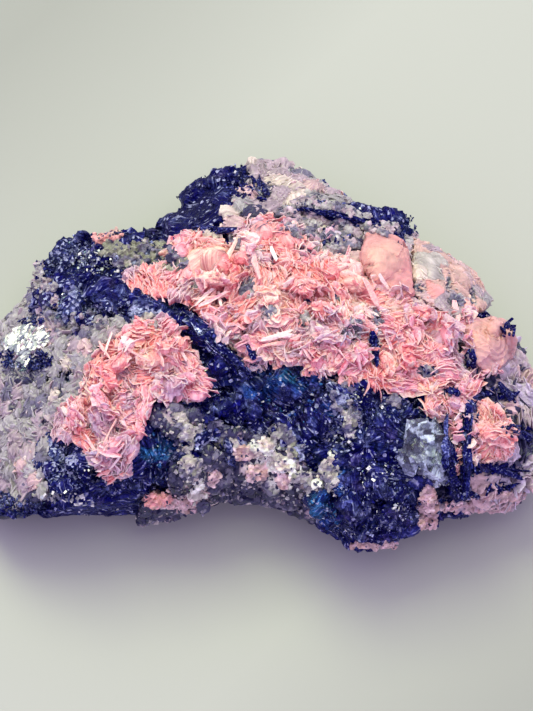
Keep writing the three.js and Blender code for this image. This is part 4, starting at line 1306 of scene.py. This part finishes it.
# The flakes of the patch lie so that they throw the window's light into the camera.
facing = np.array(towards_lens)
TOWARDS_WINDOW = np.array([-0.2, 0.35, 0.85])
FLAKE_RUN = np.array([0.65, 0.7, 0.3])  # the way that the flakes' long sides lie
FLAKE_GAP = 0.6 * MM
SILVER_PLACES = [(30, 337, 20, 12), (14, 341, 10, 9), (24, 355, 6, 9)]
mirror = unit((facing + TOWARDS_WINDOW)[None])
rng = np.random.default_rng(71)
points, _ = spots_seen(SILVER_PLACES, FLAKE_GAP, rng)
sizes = rng.uniform(1.0, 1.9, len(points)) * MM
runs = FLAKE_RUN + rng.normal(0, 0.22, (len(points), 3))
level_with = np.repeat(mirror, len(points), 0)
flakes = chips(points + facing * 0.4 * MM, level_with, sizes, rng, 0.1, (0.42, 0.3), runs)

# The glints, small flakes whose near-white colour is a painted glint, are strewn thickly in some places,
# thinly in others, and over all of the rock.
GLINT_PLACES = [
    (88, 472, 6, 8), (262, 450, 9, 9), (397, 508, 6, 5), (335, 456, 5, 5), (355, 396, 12, 10),
    (470, 462, 8, 4), (100, 262, 30, 12), (340, 440, 16, 10), (297, 500, 20, 6),
]
LOW_GLINTS = [(66, 497, 24, 5), (84, 502, 12, 4)]
FEW_GLINTS = [(375, 470, 16, 12), (398, 506, 7, 8)]
LOW_GLINT_LIFT = np.array([0, -0.2, 0.5]) * MM
GLINT_GAP, LOW_GAP, FEW_GAP = 1.0 * MM, 0.8 * MM, 2.4 * MM
points, _ = spots_seen(GLINT_PLACES, GLINT_GAP, rng)
more_points, _, rng = scatter("hematite_rock", 260, 72)
low_points, _ = spots_seen(LOW_GLINTS, LOW_GAP, rng)
few_points, _ = spots_seen(FEW_GLINTS, FEW_GAP, rng)
low_points = np.concatenate([low_points, few_points]) + LOW_GLINT_LIFT
points = np.concatenate([points + facing * 0.3 * MM, more_points, low_points])
turned = unit(np.repeat(mirror, len(points), 0) + rng.normal(0, 0.5, (len(points), 3)))
sizes = rng.uniform(0.25, 0.8, len(points)) * MM
sizes[-len(low_points):] *= 1.5
glints = chips(points, turned, sizes, rng, 0.2, (0.7, 0.3))
parts = []
for places, faces in (flakes, glints):
    # Painted reflection and glints: most flakes take the near-white bright tone.
    tones = pick(MIRROR, {"bright": 5, "dull": 3, "dark": 2}, len(places) // 8, rng)
    parts.append((places, faces, np.repeat(tones, 8, 0), np.zeros(len(places))))
finished(made_mesh("silver_flakes", *joined(parts)), silver, "hematite")

# ---- Smoky quartz ----
# One blunt crystal of smoky grey quartz, grown in a gap between the rock and the blades, and broken across
# in several planes.

# Quartz, broken: see-through with a bluish cast. Some of its faces are clear and dark, and others are frosted
# with fine splinters, their sparkle painted as flecks of lighter colour.
FROST_PER_METRE = 1500  # the real frosting is finer, and wouldn't show
smoky_quartz, tree = material("smoky_quartz")
tone, reach = (node(tree, "Attribute", attribute_name=name) for name in ("tone", "reach"))
place = node(tree, "TexCoord").outputs["Object"]
cloud = node(tree, "TexNoise", {"Vector": place}, Scale=FROST_PER_METRE, Detail=6.0)
frost = node(tree, "Math", {0: cloud, 1: reach.outputs["Fac"]}, operation="MULTIPLY")
# Frosting and painted sparkle: fine flecks lighten and darken the tone.
frost_and_painted_sparkle = node(tree, "MapRange", {"Value": cloud}, From_Min=0.35, From_Max=0.7, To_Min=0.7, To_Max=1.4)
tint = node(tree, "VectorMath", {0: tone, 1: frost_and_painted_sparkle}, operation="MULTIPLY")
clear = node(tree, "MapRange", {"Value": frost}, From_Max=0.6, To_Min=0.85, To_Max=0.2)
frost_roughness_and_floor_falloff = node(tree, "MapRange", {"Value": frost}, To_Min=0.12, To_Max=0.5)
relief = node(tree, "Bump", {"Height": cloud}, Strength=0.5, Distance=0.25 * MM)
shader = node(
    tree, "BsdfPrincipled",
    {"Base Color": tint, "Transmission Weight": clear, "Roughness": frost_roughness_and_floor_falloff, "Normal": relief}, IOR=1.54,
)
node(tree, "OutputMaterial", {"Surface": shader})

QUARTZ = {"deep": "#3d4260", "smoke": "#6e7596", "mist": "#9fa8c4", "frost": "#cfdcf2"}
FROSTED = [
    ([(434, 458, 15, 22)], 1.0, {"frost": 6, "mist": 4}),
    ([(420, 428, 13, 9)], 0.8, {"frost": 3, "mist": 5, "smoke": 1}),
]
PLANE, FACET = 4.4 * MM, 1.1 * MM  # how wide its broken planes are, and the small facets on them
QUARTZ_VOXEL = 0.4 * MM
FROST_BY_TONE = 2.4  # a paler facet is a more frosted one
quartz = ground("grey_quartz", "grey_quartz_crystal", QUARTZ_VOXEL)
seeds, _, rng = scatter("grey_quartz", 1500, 41, -1.5)
wide, _ = spaced(seeds, seeds, PLANE)
plane = hackly(quartz, wide, PLANE, 0.65, 0.35 * MM, rng)
seeds, _ = spaced(seeds, seeds, FACET)
facet = hackly(quartz, seeds, FACET, 0.15, 0.04 * MM, rng)
tones = coloured(seeds, QUARTZ, {"mist": 4, "smoke": 5, "deep": 1}, FROSTED, rng)[facet]
tones *= rng.uniform(0.75, 1.25, (len(wide), 1))[plane]
set_tones(quartz.data, tones, tones[:, 1] * FROST_BY_TONE)
finished(quartz, smoky_quartz, "quartz", "grey_quartz")

# ---- Floor and light ----
# A plain pale table. The main light is large and above, towards the back, so that the near edge throws a
# soft shadow forwards, and the air's own light is faintly violet.

# Laminate, matt and pale: faintly clouded, and painted darker beyond a broad band that runs aslant under the
# piece, as shade where the light falls off.
CLOUDS_PER_METRE = 3.0
BAND_WAY = (-0.7, 0.7, 0)
BAND_INSIDE, BAND_OUTSIDE = 0.05, 0.11  # metres from its middle
table_top, tree = material("pale_matt_laminate")
place = node(tree, "TexCoord").outputs["Object"]
cloud = node(tree, "TexNoise", {"Vector": place}, Scale=CLOUDS_PER_METRE, Detail=2.0)
fade = node(tree, "ValToRGB", {"Fac": cloud})
fade.color_ramp.elements[0].color = linear("#a3a7a0")
fade.color_ramp.elements[1].color = linear("#b0b4ab")
aslant = node(tree, "VectorMath", {0: place, 1: BAND_WAY}, operation="DOT_PRODUCT")
spread = node(tree, "Math", {0: aslant.outputs["Value"]}, operation="ABSOLUTE")
# Painted shade: the floor darkens beyond the band, as the light falls off.
frost_roughness_and_floor_falloff = node(
    tree, "MapRange", {"Value": spread},
    From_Min=BAND_INSIDE, From_Max=BAND_OUTSIDE, To_Min=1.03, To_Max=0.75,
)
floor_with_painted_falloff = node(tree, "VectorMath", {0: fade, 1: frost_roughness_and_floor_falloff}, operation="MULTIPLY")
shader = node(tree, "BsdfPrincipled", {"Base Color": floor_with_painted_falloff}, Roughness=0.7)
node(tree, "OutputMaterial", {"Surface": shader})
TABLE_SIZE = 3  # metres
bpy.ops.mesh.primitive_plane_add(size=TABLE_SIZE, location=(0, 0, 0))
floor = bpy.context.object
floor.name = "table_top"
floor.data.materials.append(table_top)

LAMP_SIZE = 0.5  # metres
LAMP_COLOUR = (0.87, 1.0, 0.5)
LAMP_AIM = Vector((0, 0, 0.02))  # the middle of the specimen
AIR_COLOUR = (0.76, 0.63, 1.0, 1.0)
AIR_LIGHT = 1.2


def soft_light(name, place, watts):
    """A square light that faces the specimen."""
    bpy.ops.object.light_add(type="AREA", location=place)
    lamp = bpy.context.object
    lamp.name = name
    lamp.rotation_euler = (Vector(place) - LAMP_AIM).to_track_quat("Z", "Y").to_euler()
    lamp.data.size = LAMP_SIZE
    lamp.data.energy = watts
    lamp.data.color = LAMP_COLOUR


soft_light("window", (-0.12, 0.4, 0.85), 6.7)
soft_light("ceiling", (0.1, 0.0, 1.0), 2)
world = bpy.data.worlds.new("room")
world.use_nodes = True
world.node_tree.nodes["Background"].inputs["Color"].default_value = AIR_COLOUR
world.node_tree.nodes["Background"].inputs["Strength"].default_value = AIR_LIGHT
bpy.context.scene.world = world
bpy.context.scene.view_settings.view_transform = "Standard"
